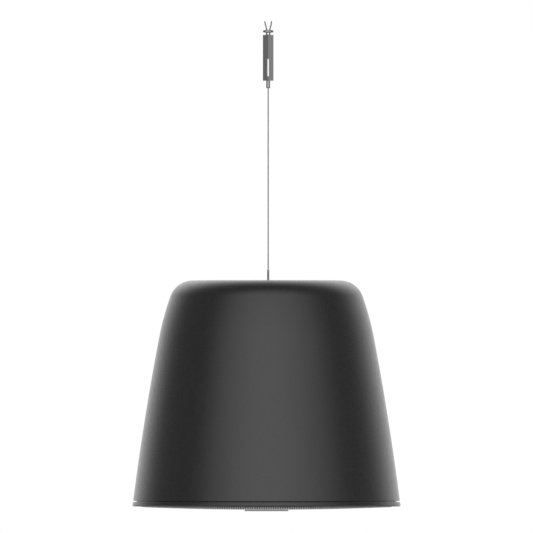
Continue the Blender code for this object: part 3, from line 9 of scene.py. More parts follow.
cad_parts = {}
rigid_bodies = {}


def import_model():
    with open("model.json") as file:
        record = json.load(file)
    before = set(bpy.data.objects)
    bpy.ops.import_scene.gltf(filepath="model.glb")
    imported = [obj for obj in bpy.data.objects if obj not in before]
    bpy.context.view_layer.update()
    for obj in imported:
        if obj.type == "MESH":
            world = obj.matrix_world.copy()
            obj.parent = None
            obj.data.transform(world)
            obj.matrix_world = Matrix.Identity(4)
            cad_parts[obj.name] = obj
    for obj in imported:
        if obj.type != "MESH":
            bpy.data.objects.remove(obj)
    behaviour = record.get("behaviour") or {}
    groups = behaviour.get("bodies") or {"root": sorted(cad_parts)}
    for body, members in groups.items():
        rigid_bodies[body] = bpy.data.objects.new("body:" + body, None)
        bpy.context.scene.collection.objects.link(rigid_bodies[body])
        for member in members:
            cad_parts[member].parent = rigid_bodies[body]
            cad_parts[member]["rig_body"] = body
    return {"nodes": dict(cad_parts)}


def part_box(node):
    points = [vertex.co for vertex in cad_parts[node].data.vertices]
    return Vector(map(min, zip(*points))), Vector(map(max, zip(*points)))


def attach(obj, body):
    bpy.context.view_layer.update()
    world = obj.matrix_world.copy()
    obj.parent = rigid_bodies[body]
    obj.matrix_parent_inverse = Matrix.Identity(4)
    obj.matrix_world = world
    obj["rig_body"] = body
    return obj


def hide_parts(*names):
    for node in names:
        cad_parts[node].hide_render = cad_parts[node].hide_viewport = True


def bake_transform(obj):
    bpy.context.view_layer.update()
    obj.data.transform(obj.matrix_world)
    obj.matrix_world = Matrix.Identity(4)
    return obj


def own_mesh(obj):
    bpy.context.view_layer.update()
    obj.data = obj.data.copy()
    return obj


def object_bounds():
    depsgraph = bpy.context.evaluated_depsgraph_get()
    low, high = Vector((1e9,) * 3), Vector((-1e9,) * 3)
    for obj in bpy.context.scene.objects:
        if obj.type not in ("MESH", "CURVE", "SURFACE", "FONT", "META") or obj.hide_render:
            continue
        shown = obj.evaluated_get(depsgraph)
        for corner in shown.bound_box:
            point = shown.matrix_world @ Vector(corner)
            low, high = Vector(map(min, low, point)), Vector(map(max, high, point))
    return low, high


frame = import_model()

CAD_LOW, CAD_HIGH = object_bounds()

# Places taken from the frame
SHELL_LOW, SHELL_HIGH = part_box("shell")
AXIS_X = (SHELL_LOW.x + SHELL_HIGH.x) / 2
SHELL_TOP = SHELL_HIGH.z
SHELL_HEIGHT = SHELL_HIGH.z - SHELL_LOW.z
BAR_LOW, BAR_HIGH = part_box("gripper_body")
WIRE_LOW, WIRE_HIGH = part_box("suspension_wire")

# Photograph's view
PIXELS = 533
MM_PER_PIXEL = 1.12007
HANGER_PIXEL = (268.2, 32.65)  # the frame's origin in the photograph
CAMERA_DISTANCE = 25.0
CAMERA_HEIGHT = -0.45  # between the shell's top and its rim, so that neither edge bows
SENSOR = 36.0

# Studio
FLOOR_DROP = 0.25  # below the grille
FLOOR_RADIUS = 4.0
FLOOR_WHITE_FROM = 0.45
FLOOR_WHITE_TO = 1.6
FLOOR_GREY = 0.9
FRONT_LIGHT = 1.49
FRONT_TURN = 0.085  # the front light stands this far to the right, as a slope
FRONT_TALL = 0.72  # under 1, it is taller than wide
FRONT_NONE = 0.20  # cosine of the angle at which it ends
FRONT_FULL = 0.995
GLOW_LIGHT = 0.24  # brighter middle of the front light
GLOW_NONE = 0.816
SIDE_LIGHT = 0.337
BACK_LIGHT = 1.20
BACK_TURN = 0.095
BACK_NONE = 0.246
BACK_FULL = 0.916
TOP_BACK_LIGHT = 0.55
TOP_BACK_NONE = 0.1
TOP_BACK_FULL = 0.5
RIGHT_LIGHT = 0.44  # low strip at the right
RIGHT_NONE = 0.92
RIGHT_TALL = 0.12

FIT = 0.0003
WELD = 0.00001
TAU = 2 * math.pi
QUARTER = math.pi / 2
HANGER = (0.0, 0.0)  # the wire's axis
SHARP = math.radians(30)
EASED_FROM = math.radians(25)
EASED_SHARE = 0.35  # of the shorter side at a corner
BENT_SHARE = 0.45
TINY = 1e-7
HOLE_PITCH = 0.0052
BAND_DULL = 0.8
BAND_EDGES = (-0.7, 0.3)
CLOUD = (0.3, 0.7)  # levels of noise between which a finish changes


def make_camera():
    """A long lens from far off, framed as the photograph is."""
    centre_x = (PIXELS / 2 - HANGER_PIXEL[0]) * MM_PER_PIXEL / 1000
    centre = Vector((centre_x, 0, -(PIXELS / 2 - HANGER_PIXEL[1]) * MM_PER_PIXEL / 1000))
    data = bpy.data.cameras.new("camera")
    data.sensor_width = SENSOR
    data.lens = SENSOR * CAMERA_DISTANCE / (PIXELS * MM_PER_PIXEL / 1000)
    data.clip_end = 2 * CAMERA_DISTANCE
    camera = bpy.data.objects.new("camera", data)
    camera.location = (centre_x, -CAMERA_DISTANCE, CAMERA_HEIGHT)
    camera.rotation_euler = (centre - camera.location).to_track_quat("-Z", "Y").to_euler()
    bpy.context.scene.collection.objects.link(camera)
    bpy.context.scene.camera = camera


class Nodes:
    """A short way to write the node tree of a world or a material."""

    def __init__(self, owner):
        owner.use_nodes = True
        self.tree = owner.node_tree
        self.tree.nodes.clear()

    def add(self, kind, settings=None, **inputs):
        node = self.tree.nodes.new("ShaderNode" + kind)
        for name, value in (settings or {}).items():
            setattr(node, name, value)
        for name, value in inputs.items():
            self.feed(node.inputs[name.replace("_", " ")], value)
        return node

    def feed(self, socket, value):
        if isinstance(value, bpy.types.NodeSocket):
            self.tree.links.new(value, socket)
        else:
            socket.default_value = value

    def math(self, operation, *values):
        node = self.add("Math", {"operation": operation})
        for socket, value in zip(node.inputs, values):
            self.feed(socket, value)
        return node.outputs[0]

    def times(self, first, second):
        return self.math("MULTIPLY", first, second)

    def plus(self, first, second):
        return self.math("ADD", first, second)

    def ramp(self, value, low, high, to_low=0.0, to_high=1.0):
        node = self.add("MapRange", {"interpolation_type": "SMOOTHSTEP"})
        for socket, part in zip(node.inputs, (value, low, high, to_low, to_high)):
            self.feed(socket, part)
        return node.outputs[0]

    def place(self, kind):
        return self.add("TexCoord").outputs[kind]

    def axes(self, place):
        return self.add("SeparateXYZ", Vector=place).outputs[:3]

    def length(self, place):
        node = self.add("VectorMath", {"operation": "LENGTH"})
        self.feed(node.inputs[0], place)
        return node.outputs["Value"]

    def camera_ray(self):
        return self.add("LightPath").outputs["Is Camera Ray"]

    def mix(self, share, first, second):
        """The shader first, turning into the second as the share goes from 0 to 1."""
        node = self.add("MixShader", Fac=share)
        self.feed(node.inputs[1], first.outputs[0])
        self.feed(node.inputs[2], second.outputs[0])
        return node

    def end(self, kind, shader):
        self.add("Output" + kind, Surface=shader.outputs[0])


def make_world():
    """Soft light from the front, dimmer sides, and the white backdrop's light from behind."""
    world = bpy.data.worlds.new("studio")
    bpy.context.scene.world = world
    nodes = Nodes(world)
    x, y, z = nodes.axes(nodes.place("Generated"))
    ahead = nodes.plus(nodes.times(y, -1.0), nodes.times(x, FRONT_TURN))
    squeezed = nodes.add("CombineXYZ", X=x, Y=ahead, Z=nodes.times(z, FRONT_TALL))
    facing = nodes.math("DIVIDE", ahead, nodes.length(squeezed.outputs[0]))
    behind = nodes.plus(y, nodes.times(x, BACK_TURN))
    over = nodes.times(y, nodes.math("MAXIMUM", z, 0.0))
    strip = nodes.ramp(nodes.math("ABSOLUTE", z), 0.0, RIGHT_TALL, RIGHT_LIGHT, 0.0)
    light = nodes.times(nodes.ramp(x, RIGHT_NONE, 1.0), strip)
    for part in (
        nodes.ramp(facing, FRONT_NONE, FRONT_FULL, 0.0, FRONT_LIGHT),
        nodes.ramp(facing, GLOW_NONE, 1.0, 0.0, GLOW_LIGHT),
        nodes.ramp(behind, BACK_NONE, BACK_FULL, 0.0, BACK_LIGHT - SIDE_LIGHT),
        nodes.ramp(over, TOP_BACK_NONE, TOP_BACK_FULL, 0.0, TOP_BACK_LIGHT),
        SIDE_LIGHT,
    ):
        light = nodes.plus(light, part)
    strength = nodes.add("Mix", {"data_type": "FLOAT"}, Factor=nodes.camera_ray())
    nodes.feed(strength.inputs[2], light)
    nodes.feed(strength.inputs[3], 1.0)
    nodes.end("World", nodes.add("Background", Color=(1, 1, 1, 1), Strength=strength.outputs[0]))


def grey(level, blue=1.0):
    return (level, level, level * blue)


def object_of(name, shape, *finishes):
    """A new object with the mesh of a bmesh, which is used up."""
    mesh = bpy.data.meshes.new(name)
    shape.to_mesh(mesh)
    shape.free()
    for finish in finishes:
        mesh.materials.append(finish)
    made = bpy.data.objects.new(name, mesh)
    bpy.context.scene.collection.objects.link(made)
    return made


def make_floor():
    """A pale disc under the object. Away from it the disc is plain white, and from below it can't be seen."""
    made = bpy.data.materials.new("floor")
    nodes = Nodes(made)
    away = nodes.ramp(nodes.length(nodes.place("Object")), FLOOR_WHITE_FROM, FLOOR_WHITE_TO)
    paper = nodes.add("BsdfDiffuse", Color=(*grey(FLOOR_GREY), 1))
    white = nodes.add("Emission", Strength=1.0)
    shade = nodes.mix(nodes.times(away, nodes.camera_ray()), paper, white)
    below_it = nodes.add("NewGeometry").outputs["Backfacing"]
    nodes.end("Material", nodes.mix(below_it, shade, nodes.add("BsdfTransparent")))
    shape = bmesh.new()
    bmesh.ops.create_circle(shape, cap_ends=True, segments=64, radius=FLOOR_RADIUS)
    floor = object_of("floor", shape, made)
    floor.location = (AXIS_X, 0, CAD_LOW.z - FLOOR_DROP)


bpy.context.scene.view_settings.view_transform = "Standard"
make_camera()
make_world()
make_floor()


FINISHES = {}


def material(name, stems, colour, roughness, metallic=0.0, vary=0.08, span=0.05, scale=160.0, bump=0.0,
             grain=900.0, stretch=(1.0, 1.0, 1.0), depth=0.0001, bands=0.0):
    """Principled finish for the CAD nodes with these stems. Its colour, roughness and relief vary with noise
    in the piece's own space. With bands, it is duller along the lines of holes that far apart."""
    made = bpy.data.materials.new(name)
    nodes = Nodes(made)
    own = nodes.place("Object")
    place = nodes.add("Mapping", Vector=own, Scale=stretch).outputs[0]
    cloud = nodes.add("TexNoise", Vector=place, Scale=scale, Detail=4.0).outputs[0]
    shade = nodes.add("BsdfPrincipled", Metallic=metallic)
    tint = nodes.add("Mix", {"data_type": "RGBA"}, Factor=nodes.ramp(cloud, *CLOUD))
    nodes.feed(tint.inputs[6], (*(part * (1 - vary) for part in colour), 1))
    nodes.feed(tint.inputs[7], (*(part * (1 + vary) for part in colour), 1))
    nodes.feed(shade.inputs["Base Color"], tint.outputs[2])
    rough = nodes.ramp(cloud, *CLOUD, roughness - span, roughness + span)
    if bands:
        turn = nodes.times(nodes.math("SUBTRACT", nodes.axes(own)[0], AXIS_X), TAU / bands)
        rough = nodes.plus(rough, nodes.ramp(nodes.math("COSINE", turn), *BAND_EDGES, 0.0, BAND_DULL))
    nodes.feed(shade.inputs["Roughness"], rough)
    if bump:
        fine = nodes.add("TexNoise", Vector=place, Scale=grain, Detail=3.0).outputs[0]
        relief = nodes.add("Bump", Height=fine, Strength=bump, Distance=depth)
        nodes.feed(shade.inputs["Normal"], relief.outputs[0])
    nodes.end("Material", shade)
    for stem in stems.split():
        FINISHES[stem] = made
    return made


material("housing_paint", "shell", grey(0.0060, 1.03), 0.278, bump=0.04, grain=700.0, span=0.02)
material("baffle_paint", "baffle", grey(0.0060, 1.03), 0.30, bump=0.05, grain=700.0, span=0.02)
material("grille_paint", "grille", grey(0.006, 1.03), 0.15, bump=0.02, grain=1500.0, span=0.02,
         bands=HOLE_PITCH / 2)
material("hanger_steel", "gripper_body gripper_bush safety_insert", grey(0.34), 0.22, 1.0, vary=0.04,
         span=0.02, scale=90.0, bump=0.02, grain=1500.0, stretch=(3, 3, 0.2))
material("nozzle_steel", "release_nozzle", grey(0.22), 0.20, 1.0, vary=0.05, scale=300.0, stretch=(1, 1, 3))
material("rope_steel", "suspension_wire", grey(0.27), 0.30, 1.0, vary=0.10, scale=600.0)
material("plate_metal", "bare_plate", grey(0.33), 0.38, 1.0, scale=60.0, bump=0.06, grain=900.0,
         stretch=(0.2, 3, 3))
material("spring_steel", "nozzle_spring wire_ferrule", grey(0.17), 0.25, 1.0)
material("head_steel", "anchor_head", grey(0.15), 0.25, 1.0, vary=0.04)
material("clip_steel", "anchor_prongs", grey(0.075), 0.28, 1.0)
# Near-black steel that carve puts on the faces cut inside the bar's window, bores and chamber: painted shade
# in those recesses.
BORE_SHADE_STEEL = material("painted_bore_shade", "", grey(0.07), 0.5, 1.0)
material("brass", "grip_collet terminal_screw", (0.60, 0.42, 0.18), 0.32, 1.0, vary=0.10)
material("magnet_steel", "grille_magnet", grey(0.05), 0.35, 0.5)
material("screw_steel", "baffle_screw driver_screw bracket_screw cup_screw", grey(0.05), 0.38, 0.8,
         bump=0.05)
material("basket_metal", "basket", grey(0.03), 0.45, 0.2, bump=0.06)
material("motor_steel", "front_plate pole_yoke transformer", grey(0.42, 0.98), 0.40, 1.0, scale=220.0)
material("bracket_steel", "top_bracket", (0.50, 0.50, 0.46), 0.36, 1.0, vary=0.14, scale=90.0)
material("ferrite", "magnet_ring", grey(0.035), 0.62, bump=0.3, grain=500.0)
material("coil_wire", "voice_coil inductor", (0.55, 0.22, 0.08), 0.35, 0.9, scale=2500.0,
         stretch=(0.1, 0.1, 1))
material("spider_cloth", "spider", (0.42, 0.24, 0.07), 0.85, bump=0.5, grain=2200.0, vary=0.15)
material("cone_paper", "cone", grey(0.018), 0.72, bump=0.6, grain=420.0, vary=0.25)
material("surround_rubber", "surround", grey(0.014), 0.48, bump=0.1)
material("gasket_foam", "driver_gasket", grey(0.022), 0.95, bump=0.8, grain=1300.0)
material("dome_cloth", "tweeter_dome", grey(0.020), 0.58, bump=0.5, grain=2600.0)
material("black_plastic", "tweeter_body port_tube terminal_cup selector_body", grey(0.020), 0.46, bump=0.25,
         grain=1600.0)
material("block_plastic", "terminal_block", grey(0.28, 0.98), 0.48, bump=0.10, grain=1200.0)
material("knob_plastic", "tap_selector_knob", grey(0.10), 0.42, bump=0.15, grain=1400.0)
material("board", "crossover_board", (0.02, 0.10, 0.04), 0.42, vary=0.25, scale=300.0)
material("capacitor_film", "capacitor", (0.45, 0.28, 0.02), 0.38, vary=0.06)
TAPE = material("winding_tape", "", (0.62, 0.50, 0.08), 0.40, vary=0.06, bump=0.1, grain=400.0)
POINTER_PAINT = material("pointer_paint", "", grey(0.75, 0.98), 0.5)
material("wadding", "wadding", grey(0.55, 0.95), 0.95, bump=1.0, grain=250.0, vary=0.15, depth=0.002)


def finish_of(node):
    stem, _, number = node.rpartition("_")
    return FINISHES[stem if number.isdigit() else node]


def dress_nodes():
    """Every CAD node gets its finish; those that fine pieces replace are hidden later."""
    for name, node in frame["nodes"].items():
        node.data.materials.clear()
        node.data.materials.append(finish_of(name))


BODY_OF_NODE = {name: node["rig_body"] for name, node in frame["nodes"].items()}

# Sizes of the fine shapes, the larger ones as in the solids
FINE_EDGE = 0.0002
EDGE = 0.0003
TUBE_EDGE = 0.0004
SOFT_EDGE = 0.0005
ROUND_EDGE = 0.0010
GASKET_EDGE = 0.0006
SWITCH_EDGE = 0.0006
CAPACITOR_EDGE = 0.0014
BOARD_CORNER = 0.0020
WIRE_DIAMETER = 0.0015
WIRE_BORE = WIRE_DIAMETER / 2 + FIT
ROPE_LAY = 0.0090
ROPE_STRANDS = 6
ROPE_STEP = 0.0005
ROPE_VALLEY = 0.72  # of the rope's radius, between two strands
ROPE_BULGE = 0.6
SHELL_FLAT_RADIUS = 0.0828
SHOULDER_ARC = 0.02636
SHOULDER_ANGLE = math.radians(70.3)
SIDE_ARC = 0.3135
SIDE_ANGLE = math.radians(79.2)
SKIRT_ARC = 2.965
SHELL_WALL = 0.0034
SHELL_LIP = 0.0004
SHELL_STEPS = 240
RIM_GAP = 0.00125
RIM_HEIGHT = 0.00505
RIM_ROUND = 0.0016
RIM_BAND = 0.0071
RIM_EDGE = 0.0003
RIM_SEAT_DEPTH = 0.0009
LEDGE_WIDTH = 0.0035
BAFFLE_RECESS = 0.0126
BAFFLE_PLATE = 0.0040
CUTOUT_RADIUS = 0.0745
GRILLE_EDGE_DROP = 0.0006
GRILLE_THICKNESS = 0.0012
GRILLE_SAG = 0.0030
GRILLE_MARGIN = 0.0006
GRILLE_FOLD = 0.0050
GRILLE_FOLD_DROP = 0.0011
HOLE_DIAMETER = 0.0025
HOLE_SIDES = 8
CUP_FLANGE = 0.0050
CUP_FLANGE_SHEET = 0.0017
CUP_CORNER = 0.0040
INSERT_RADIUS = 0.0050
FERRULE_RADIUS = 0.0012
FERRULE_HEAD = 0.0040
FERRULE_CRIMP = 0.0036
FERRULE_GROOVE = 0.0003
FERRULE_TIP = 0.8  # of its radius
FERRULE_FOOT = 0.6  # of its head's radius
FLANGE_FLAT = 0.0027
FLANGE_ROUND = 0.0020
FLANGE_LOW = 0.0012
WRENCH_FLAT = 0.0052
NECK_RADIUS = 0.0027
STUD_RADIUS = 0.0020
EYE_RADIUS = 0.0010
EYE_DROP = 0.0012
POCKET_RADIUS = 0.0024
POCKET_FLOOR = 0.0009
PRONG_DIAMETER = 0.00135
PRONG_BEND = 0.0034
PRONG_UPRIGHT = 0.0033
PRONG_ELBOW = 0.0016
BAR_SIDE = 0.00845
BAR_EDGE = 0.00012
WINDOW_WIDTH = 0.0036
WINDOW_LENGTH = 0.0208
WINDOW_DROP = 0.0262
WINDOW_CORNER = 0.0017
WINDOW_TURN = math.radians(-12)
CHAMBER_RADIUS = 0.0033
CHAMBER_DEPTH = 0.0042
NOZZLE_RADIUS = 0.0024
NOZZLE_WAIST = 0.00012
NOZZLE_BEAD = 0.0011
NOZZLE_CHAMFER = 0.0005
NOZZLE_TRAVEL = 0.0010
SPRING_WIRE = 0.0003
SPRING_WAVES = 3
COLLET_RADIUS = 0.0017
COLLET_SLIT = 0.0005
COLLET_CONE = 0.0006
COLLET_SLIT_DEPTH = 0.8  # of its length
PLATE_CORNER = 0.0030
PLATE_EDGE = 0.00025
PORT_LIP = 0.0030
SCREW_SHANK = 0.0020
SCREW_HEAD = 0.0022
SMALL_SHANK = 0.0011
SMALL_HEAD = 0.0007
THREAD_PITCH = 0.0008
THREAD_DEPTH = 0.00025
SCREW_BRIM = 0.3  # of the head's height, under its dome
SCREW_CROSS = 0.5  # arm and width by the head's radius, depth by its height
SCREW_CROSS_WIDTH = 0.22
SCREW_CROSS_DEPTH = 0.6
BASKET_RADIUS = 0.0830
BASKET_SHEET = 0.0018
BASKET_FOLD = 0.8
BASKET_THROAT = 0.0725
BASKET_BORE = 0.0215
BASKET_FLOOR_RADIUS = 0.0420
BASKET_WINDOWS = 6
BASKET_ARM = 0.0060
BASKET_WINDOW_MARGIN = 0.0045
BASKET_WINDOW_CORNER = 0.35  # of the window's height
SPIDER_SEAT_RADIUS = 0.0500
SPIDER_SEAT_WIDTH = 0.0060
SPIDER_SEAT_DEPTH = 0.0252
SPIDER_SHEET = 0.0006
SPIDER_WAVES = 5
SPIDER_WAVED = (0.08, 0.90)  # share of its width that has waves
PLATE_BORE = 0.0206
RING_BORE = 0.0240
YOKE_HEIGHT = 0.0060
POLE_RADIUS = 0.0177
COIL_FORMER = 0.0193
COIL_SHEET = 0.0007
COIL_TURNS = 24
COIL_WINDING = 0.0006
COIL_WINDING_LENGTH = 0.0100
CONE_SHEET = 0.0010
CONE_BOW = 0.0014
CONE_RING = 0.00012
CONE_RINGS = 7
CONE_RINGED = (0.20, 0.90)
SURROUND_LIP = 0.0030
SURROUND_WIDTH = 0.0147
SURROUND_SHEET = 0.0006
FLEX_SECTORS = 12
FLEX_LIP = 0.0030
GASKET_WIDTH = 0.0028
TWEETER_RADIUS = 0.0155
TWEETER_DOME = 0.0130
TWEETER_EDGE = 0.0006
PORT_WALL = 0.0020
PORT_FLANGE = 0.0040
PORT_FLANGE_SHEET = 0.0016
BRACKET_CORNER = 0.0060
BRACKET_EDGE = 0.0003
CORE_STACK = 0.0180
CORE_SHEETS = 24
CORE_GROOVE = 0.00012
WINDING_LENGTH = 0.0269
WINDING_HEIGHT = 0.0224
WINDING_INSET = 0.0002
WINDING_ROUND = 0.0030
INSERT_BORE = 0.0031
INSERT_SHEET = 0.0025
INSERT_PITCH = 0.0010
INSERT_THREAD = 0.0003
CUP_WALL = 0.0020
CUP_EDGE = 0.0003
SHAFT_RADIUS = 0.0030
BLOCK_EDGE = 0.0004
BLOCK_GROOVE = 0.0006
POLE_BORE = 0.0021
POLE_SLOT = 0.0006
ENTRY_HEIGHT = 0.0032
ENTRY_DEPTH = 0.0039
KNOB_RADIUS = 0.0085
KNOB_HEIGHT = 0.0090
KNOB_TOP = 0.88
KNOB_SHOULDER = 0.94
KNOB_CHAMFER = 0.0007
KNOB_FLUTES = 6
KNOB_FLUTE = 0.0012
KNOB_FLUTE_INSET = 0.0004
KNOB_FLUTE_LENGTH = 0.0077
POINTER_LENGTH = 0.0068
POINTER_WIDTH = 0.0014
POINTER_DEPTH = 0.0007
COIL_BORE = 0.0040
INDUCTOR_TURNS = 14
WADDING_THICKNESS = 0.0180
WADDING_LUMP = 0.0040
WADDING_LUMPS = 45.0
BOSS_RADIUS = 0.0060
BOSS_HEIGHT = 0.0080
BAFFLE_BOSS_RADIUS = 0.0048
BAFFLE_BOSS_HEIGHT = 0.0200
BOSS_RIB = 0.0030
MAGNET_BOSS_WALL = 0.0016
RIM_TOP = SHELL_HEIGHT + RIM_GAP
RIM_BOTTOM = RIM_TOP + RIM_HEIGHT
LEDGE = RIM_BOTTOM - RIM_SEAT_DEPTH
BAFFLE_FRONT = LEDGE - BAFFLE_RECESS
BAFFLE_BACK = BAFFLE_FRONT - BAFFLE_PLATE
FLANGE_FRONT = SHELL_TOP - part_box("basket")[0].z  # as depths below the shell's top
BASKET_FLOOR = SHELL_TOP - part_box("basket")[1].z
SPIDER_SEAT = FLANGE_FRONT - BASKET_SHEET - SPIDER_SEAT_DEPTH


def around(radius, angle, centre=(AXIS_X, 0.0)):
    return centre[0] + radius * math.cos(angle), centre[1] + radius * math.sin(angle)


def ring_points(radius, height, steps, centre=(AXIS_X, 0.0)):
    return [(*around(radius, TAU * i / steps, centre), height) for i in range(steps)]


def loft(rings, closed=False):
    """Faces between rings of points. A ring of one point is a tip. Closed joins the last to the first."""
    shape = bmesh.new()
    made = [[shape.verts.new(point) for point in ring] for ring in rings]
    pairs = list(zip(made, made[1:]))
    if closed:
        pairs.append((made[-1], made[0]))
    for first, second in pairs:
        near, far = len(first), len(second)
        count = max(near, far)
        for i in range(count):
            j = (i + 1) % count
            corners = first[i % near], first[j % near], second[j % far], second[i % far]
            corners = list(dict.fromkeys(corners))
            if len(corners) > 2:
                shape.faces.new(corners)
    if not closed:
        for ring in (made[0], made[-1]):
            if len(ring) > 2:
                shape.faces.new(ring)
    bmesh.ops.recalc_face_normals(shape, faces=shape.faces)
    return shape


def turned(profile, steps=96, centre=(AXIS_X, 0.0)):
    """A profile of (radius, height) points turned about an upright axis."""
    rings = []
    for radius, height in profile:
        rings.append(ring_points(radius, height, steps, centre) if radius > TINY else [(*centre, height)])
    return loft(rings, closed=len(rings[0]) > 1 and len(rings[-1]) > 1)


def below(profile):
    """(radius, depth below the shell's top) points as (radius, height)."""
    return [(radius, SHELL_TOP - depth) for radius, depth in profile]


def arc(centre, radius, start, end, count):
    angles = [start + (end - start) * i / count for i in range(count + 1)]
    return [(centre[0] + radius * math.cos(a), centre[1] + radius * math.sin(a)) for a in angles]


def smooth(made):
    """Smooth shading between sharp edges, in which large faces keep their own normals next to small ones."""
    made.data.shade_smooth()
    made.data.set_sharp_from_angle(angle=SHARP)
    made.modifiers.new("normals", "WEIGHTED_NORMAL").keep_sharp = True


def piece(name, shape, node, finish=None, bend=None):
    """Makes a shown piece of a bmesh. It stands for a CAD node and takes its slot and finish, and the node's
    body unless bend is given. With bend, the piece is only fixed where it stands; the points of bend are not
    used to bend it."""
    made = object_of(name, shape, finish or finish_of(node))
    smooth(made)
    if bend:
        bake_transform(made)
    else:
        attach(made, BODY_OF_NODE[node])
    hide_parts(node)
    return made


def carve(made, *cutters, operation="DIFFERENCE", finish=None):
    """Cuts bmesh shapes out of a piece, or joins them to it. The cut faces may take a finish of their own."""
    tools = []
    made.modifiers.clear()
    if finish:
        made.data.materials.append(finish)
    for cutter in cutters:
        tool = object_of("cutter", cutter, *made.data.materials)
        for face in tool.data.polygons:
            face.material_index = len(made.data.materials) - 1
        change = made.modifiers.new("carve", "BOOLEAN")
        change.operation = operation
        change.object = tool
        tools.append(tool)
    bpy.context.view_layer.update()
    mesh = bpy.data.meshes.new_from_object(made.evaluated_get(bpy.context.evaluated_depsgraph_get()))
    made.modifiers.clear()
    shape = bmesh.new()
    shape.from_mesh(mesh)
    bmesh.ops.remove_doubles(shape, verts=shape.verts, dist=WELD)
    bmesh.ops.dissolve_degenerate(shape, edges=shape.edges, dist=WELD)
    bmesh.ops.holes_fill(shape, edges=[edge for edge in shape.edges if edge.is_boundary])
    shape.to_mesh(mesh)
    shape.free()
    made.data = mesh
    smooth(made)
    for tool in tools:
        bpy.data.objects.remove(tool, do_unlink=True)
    return made


def slab(size, centre, corner=0.0, turn=0.0, segments=6):
    """A box whose upright edges are rounded by a corner radius."""
    shape = bmesh.new()
    bmesh.ops.create_cube(shape, size=1.0, matrix=Matrix.Diagonal((*size, 1.0)))
    if corner:
        upright = [e for e in shape.edges if abs(e.verts[0].co.z - e.verts[1].co.z) > size[2] / 2]
        bmesh.ops.bevel(shape, geom=upright, offset=corner, segments=segments, affect="EDGES", profile=0.5)
    matrix = Matrix.Translation(centre) @ Matrix.Rotation(turn, 4, "Z")
    bmesh.ops.transform(shape, matrix=matrix, verts=shape.verts)
    return shape


def soften(shape, width, segments=2):
    """Rounds every sharp edge."""
    sharp = [e for e in shape.edges if e.is_manifold and e.calc_face_angle(0.0) > SHARP]
    bmesh.ops.bevel(shape, geom=sharp, offset=width, segments=segments, affect="EDGES", profile=0.5)
    return shape


def rounding(ends, corner, steps):
    """Points of a curve between two ends that rounds the corner between them."""
    first, last = ends
    shares = [k / steps for k in range(steps + 1)]
    return [(1 - t) ** 2 * first + 2 * t * (1 - t) * corner + t**2 * last for t in shares]


def eased(profile, width, steps=2):
    """Rounds the corners of a closed profile of (radius, height) points, leaving those on the axis."""
    points = []
    for i, corner in enumerate(profile):
        here = Vector(corner)
        back = Vector(profile[i - 1]) - here
        on = Vector(profile[(i + 1) % len(profile)]) - here
        if corner[0] < TINY or back.angle(-on) < EASED_FROM:
            points.append(tuple(corner))
            continue
        reach = min(width, EASED_SHARE * back.length, EASED_SHARE * on.length)
        ends = here + back.normalized() * reach, here + on.normalized() * reach
        points += [tuple(point) for point in rounding(ends, here, steps)]
    return points


def swept(path, radii, sides=12, closed=False):
    """A round wire along a path, with its own radius at each point."""
    points = [Vector(point) for point in path]
    count = len(points)
    rings = []
    normal = None
    for i, (here, radius) in enumerate(zip(points, radii)):
        before = points[i - 1] if i or closed else here
        after = points[(i + 1) % count] if i < count - 1 or closed else here
        along = (after - before).normalized()
        normal = normal or along.orthogonal()
        normal = (normal - along * normal.dot(along)).normalized()
        across = along.cross(normal)
        turns = [TAU * k / sides for k in range(sides)]
        rings.append([here + radius * (math.cos(a) * normal + math.sin(a) * across) for a in turns])
    return loft(rings, closed=closed)


def round_ended(path, radius, steps=4):
    """The path and radii of a wire whose two ends are rounded within its length."""
    points = [Vector(point) for point in path]
    radii = [radius] * len(points)
    for _ in range(2):
        tip, along = points[0], (points[1] - points[0]).normalized()
        angles = [QUARTER * (1 - k / steps) for k in range(steps + 1)]
        cap = [(tip + along * radius * (1 - math.sin(a)), radius * max(math.cos(a), 0.05)) for a in angles]
        points = [place for place, _ in cap] + points[1:]
        radii = [size for _, size in cap] + radii[1:]
        points.reverse()
        radii.reverse()
    return points, radii


def rounded_path(points, radius, steps=5):
    """A path with its inner corners rounded."""
    corners = [Vector(point) for point in points]
    path = [corners[0]]
    for before, here, after in zip(corners, corners[1:], corners[2:]):
        reach = min(radius, BENT_SHARE * (before - here).length, BENT_SHARE * (after - here).length)
        ends = here + (before - here).normalized() * reach, here + (after - here).normalized() * reach
        path += rounding(ends, here, steps)
    return path + [corners[-1]]


def rod(radius, low, high, centre=(0.0, 0.0), steps=32, ease=0.0):
    """An upright cylinder."""
    profile = [(0, high), (radius, high), (radius, low), (0, low)]
    return turned(eased(profile, ease) if ease else profile, steps, centre)


def moved(shape, matrix):
    bmesh.ops.transform(shape, matrix=matrix, verts=shape.verts)
    return shape


def rotated(shape, axis, angle=QUARTER):
    return moved(shape, Matrix.Rotation(angle, 4, axis))


def shifted(shape, x, y, z):
    return moved(shape, Matrix.Translation((x, y, z)))


def middle_of(node):
    low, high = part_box(node)
    return ((low.x + high.x) / 2, (low.y + high.y) / 2)


def round_box(node):
    """The bottom, the top and the radius of a round node."""
    low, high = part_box(node)
    return low.z, high.z, (high.x - low.x) / 2


def numbered(stem, count=4):
    return [f"{stem}_{number}" for number in range(1, count + 1)]


def arc_angles(count):
    """Angles from 0 to just under a right angle."""
    return [QUARTER * i / count for i in range(count)]


def ridges(radius, depth, start, step, count):
    """Profile of a thread, or of turns of wire, that goes down from start between two grooves."""
    return [(radius - depth * (i % 2 == 0), start - i * step / 2) for i in range(2 * count + 1)]


def lathe(node, profile, steps=96, ease=0.0, centre=(AXIS_X, 0.0), name=None):
    """A shown piece turned of a profile, whose corners may be rounded. It is named after its node."""
    shape = turned(eased(profile, ease) if ease else profile, steps, centre)
    return piece(name or f"{node}_shape", shape, node)


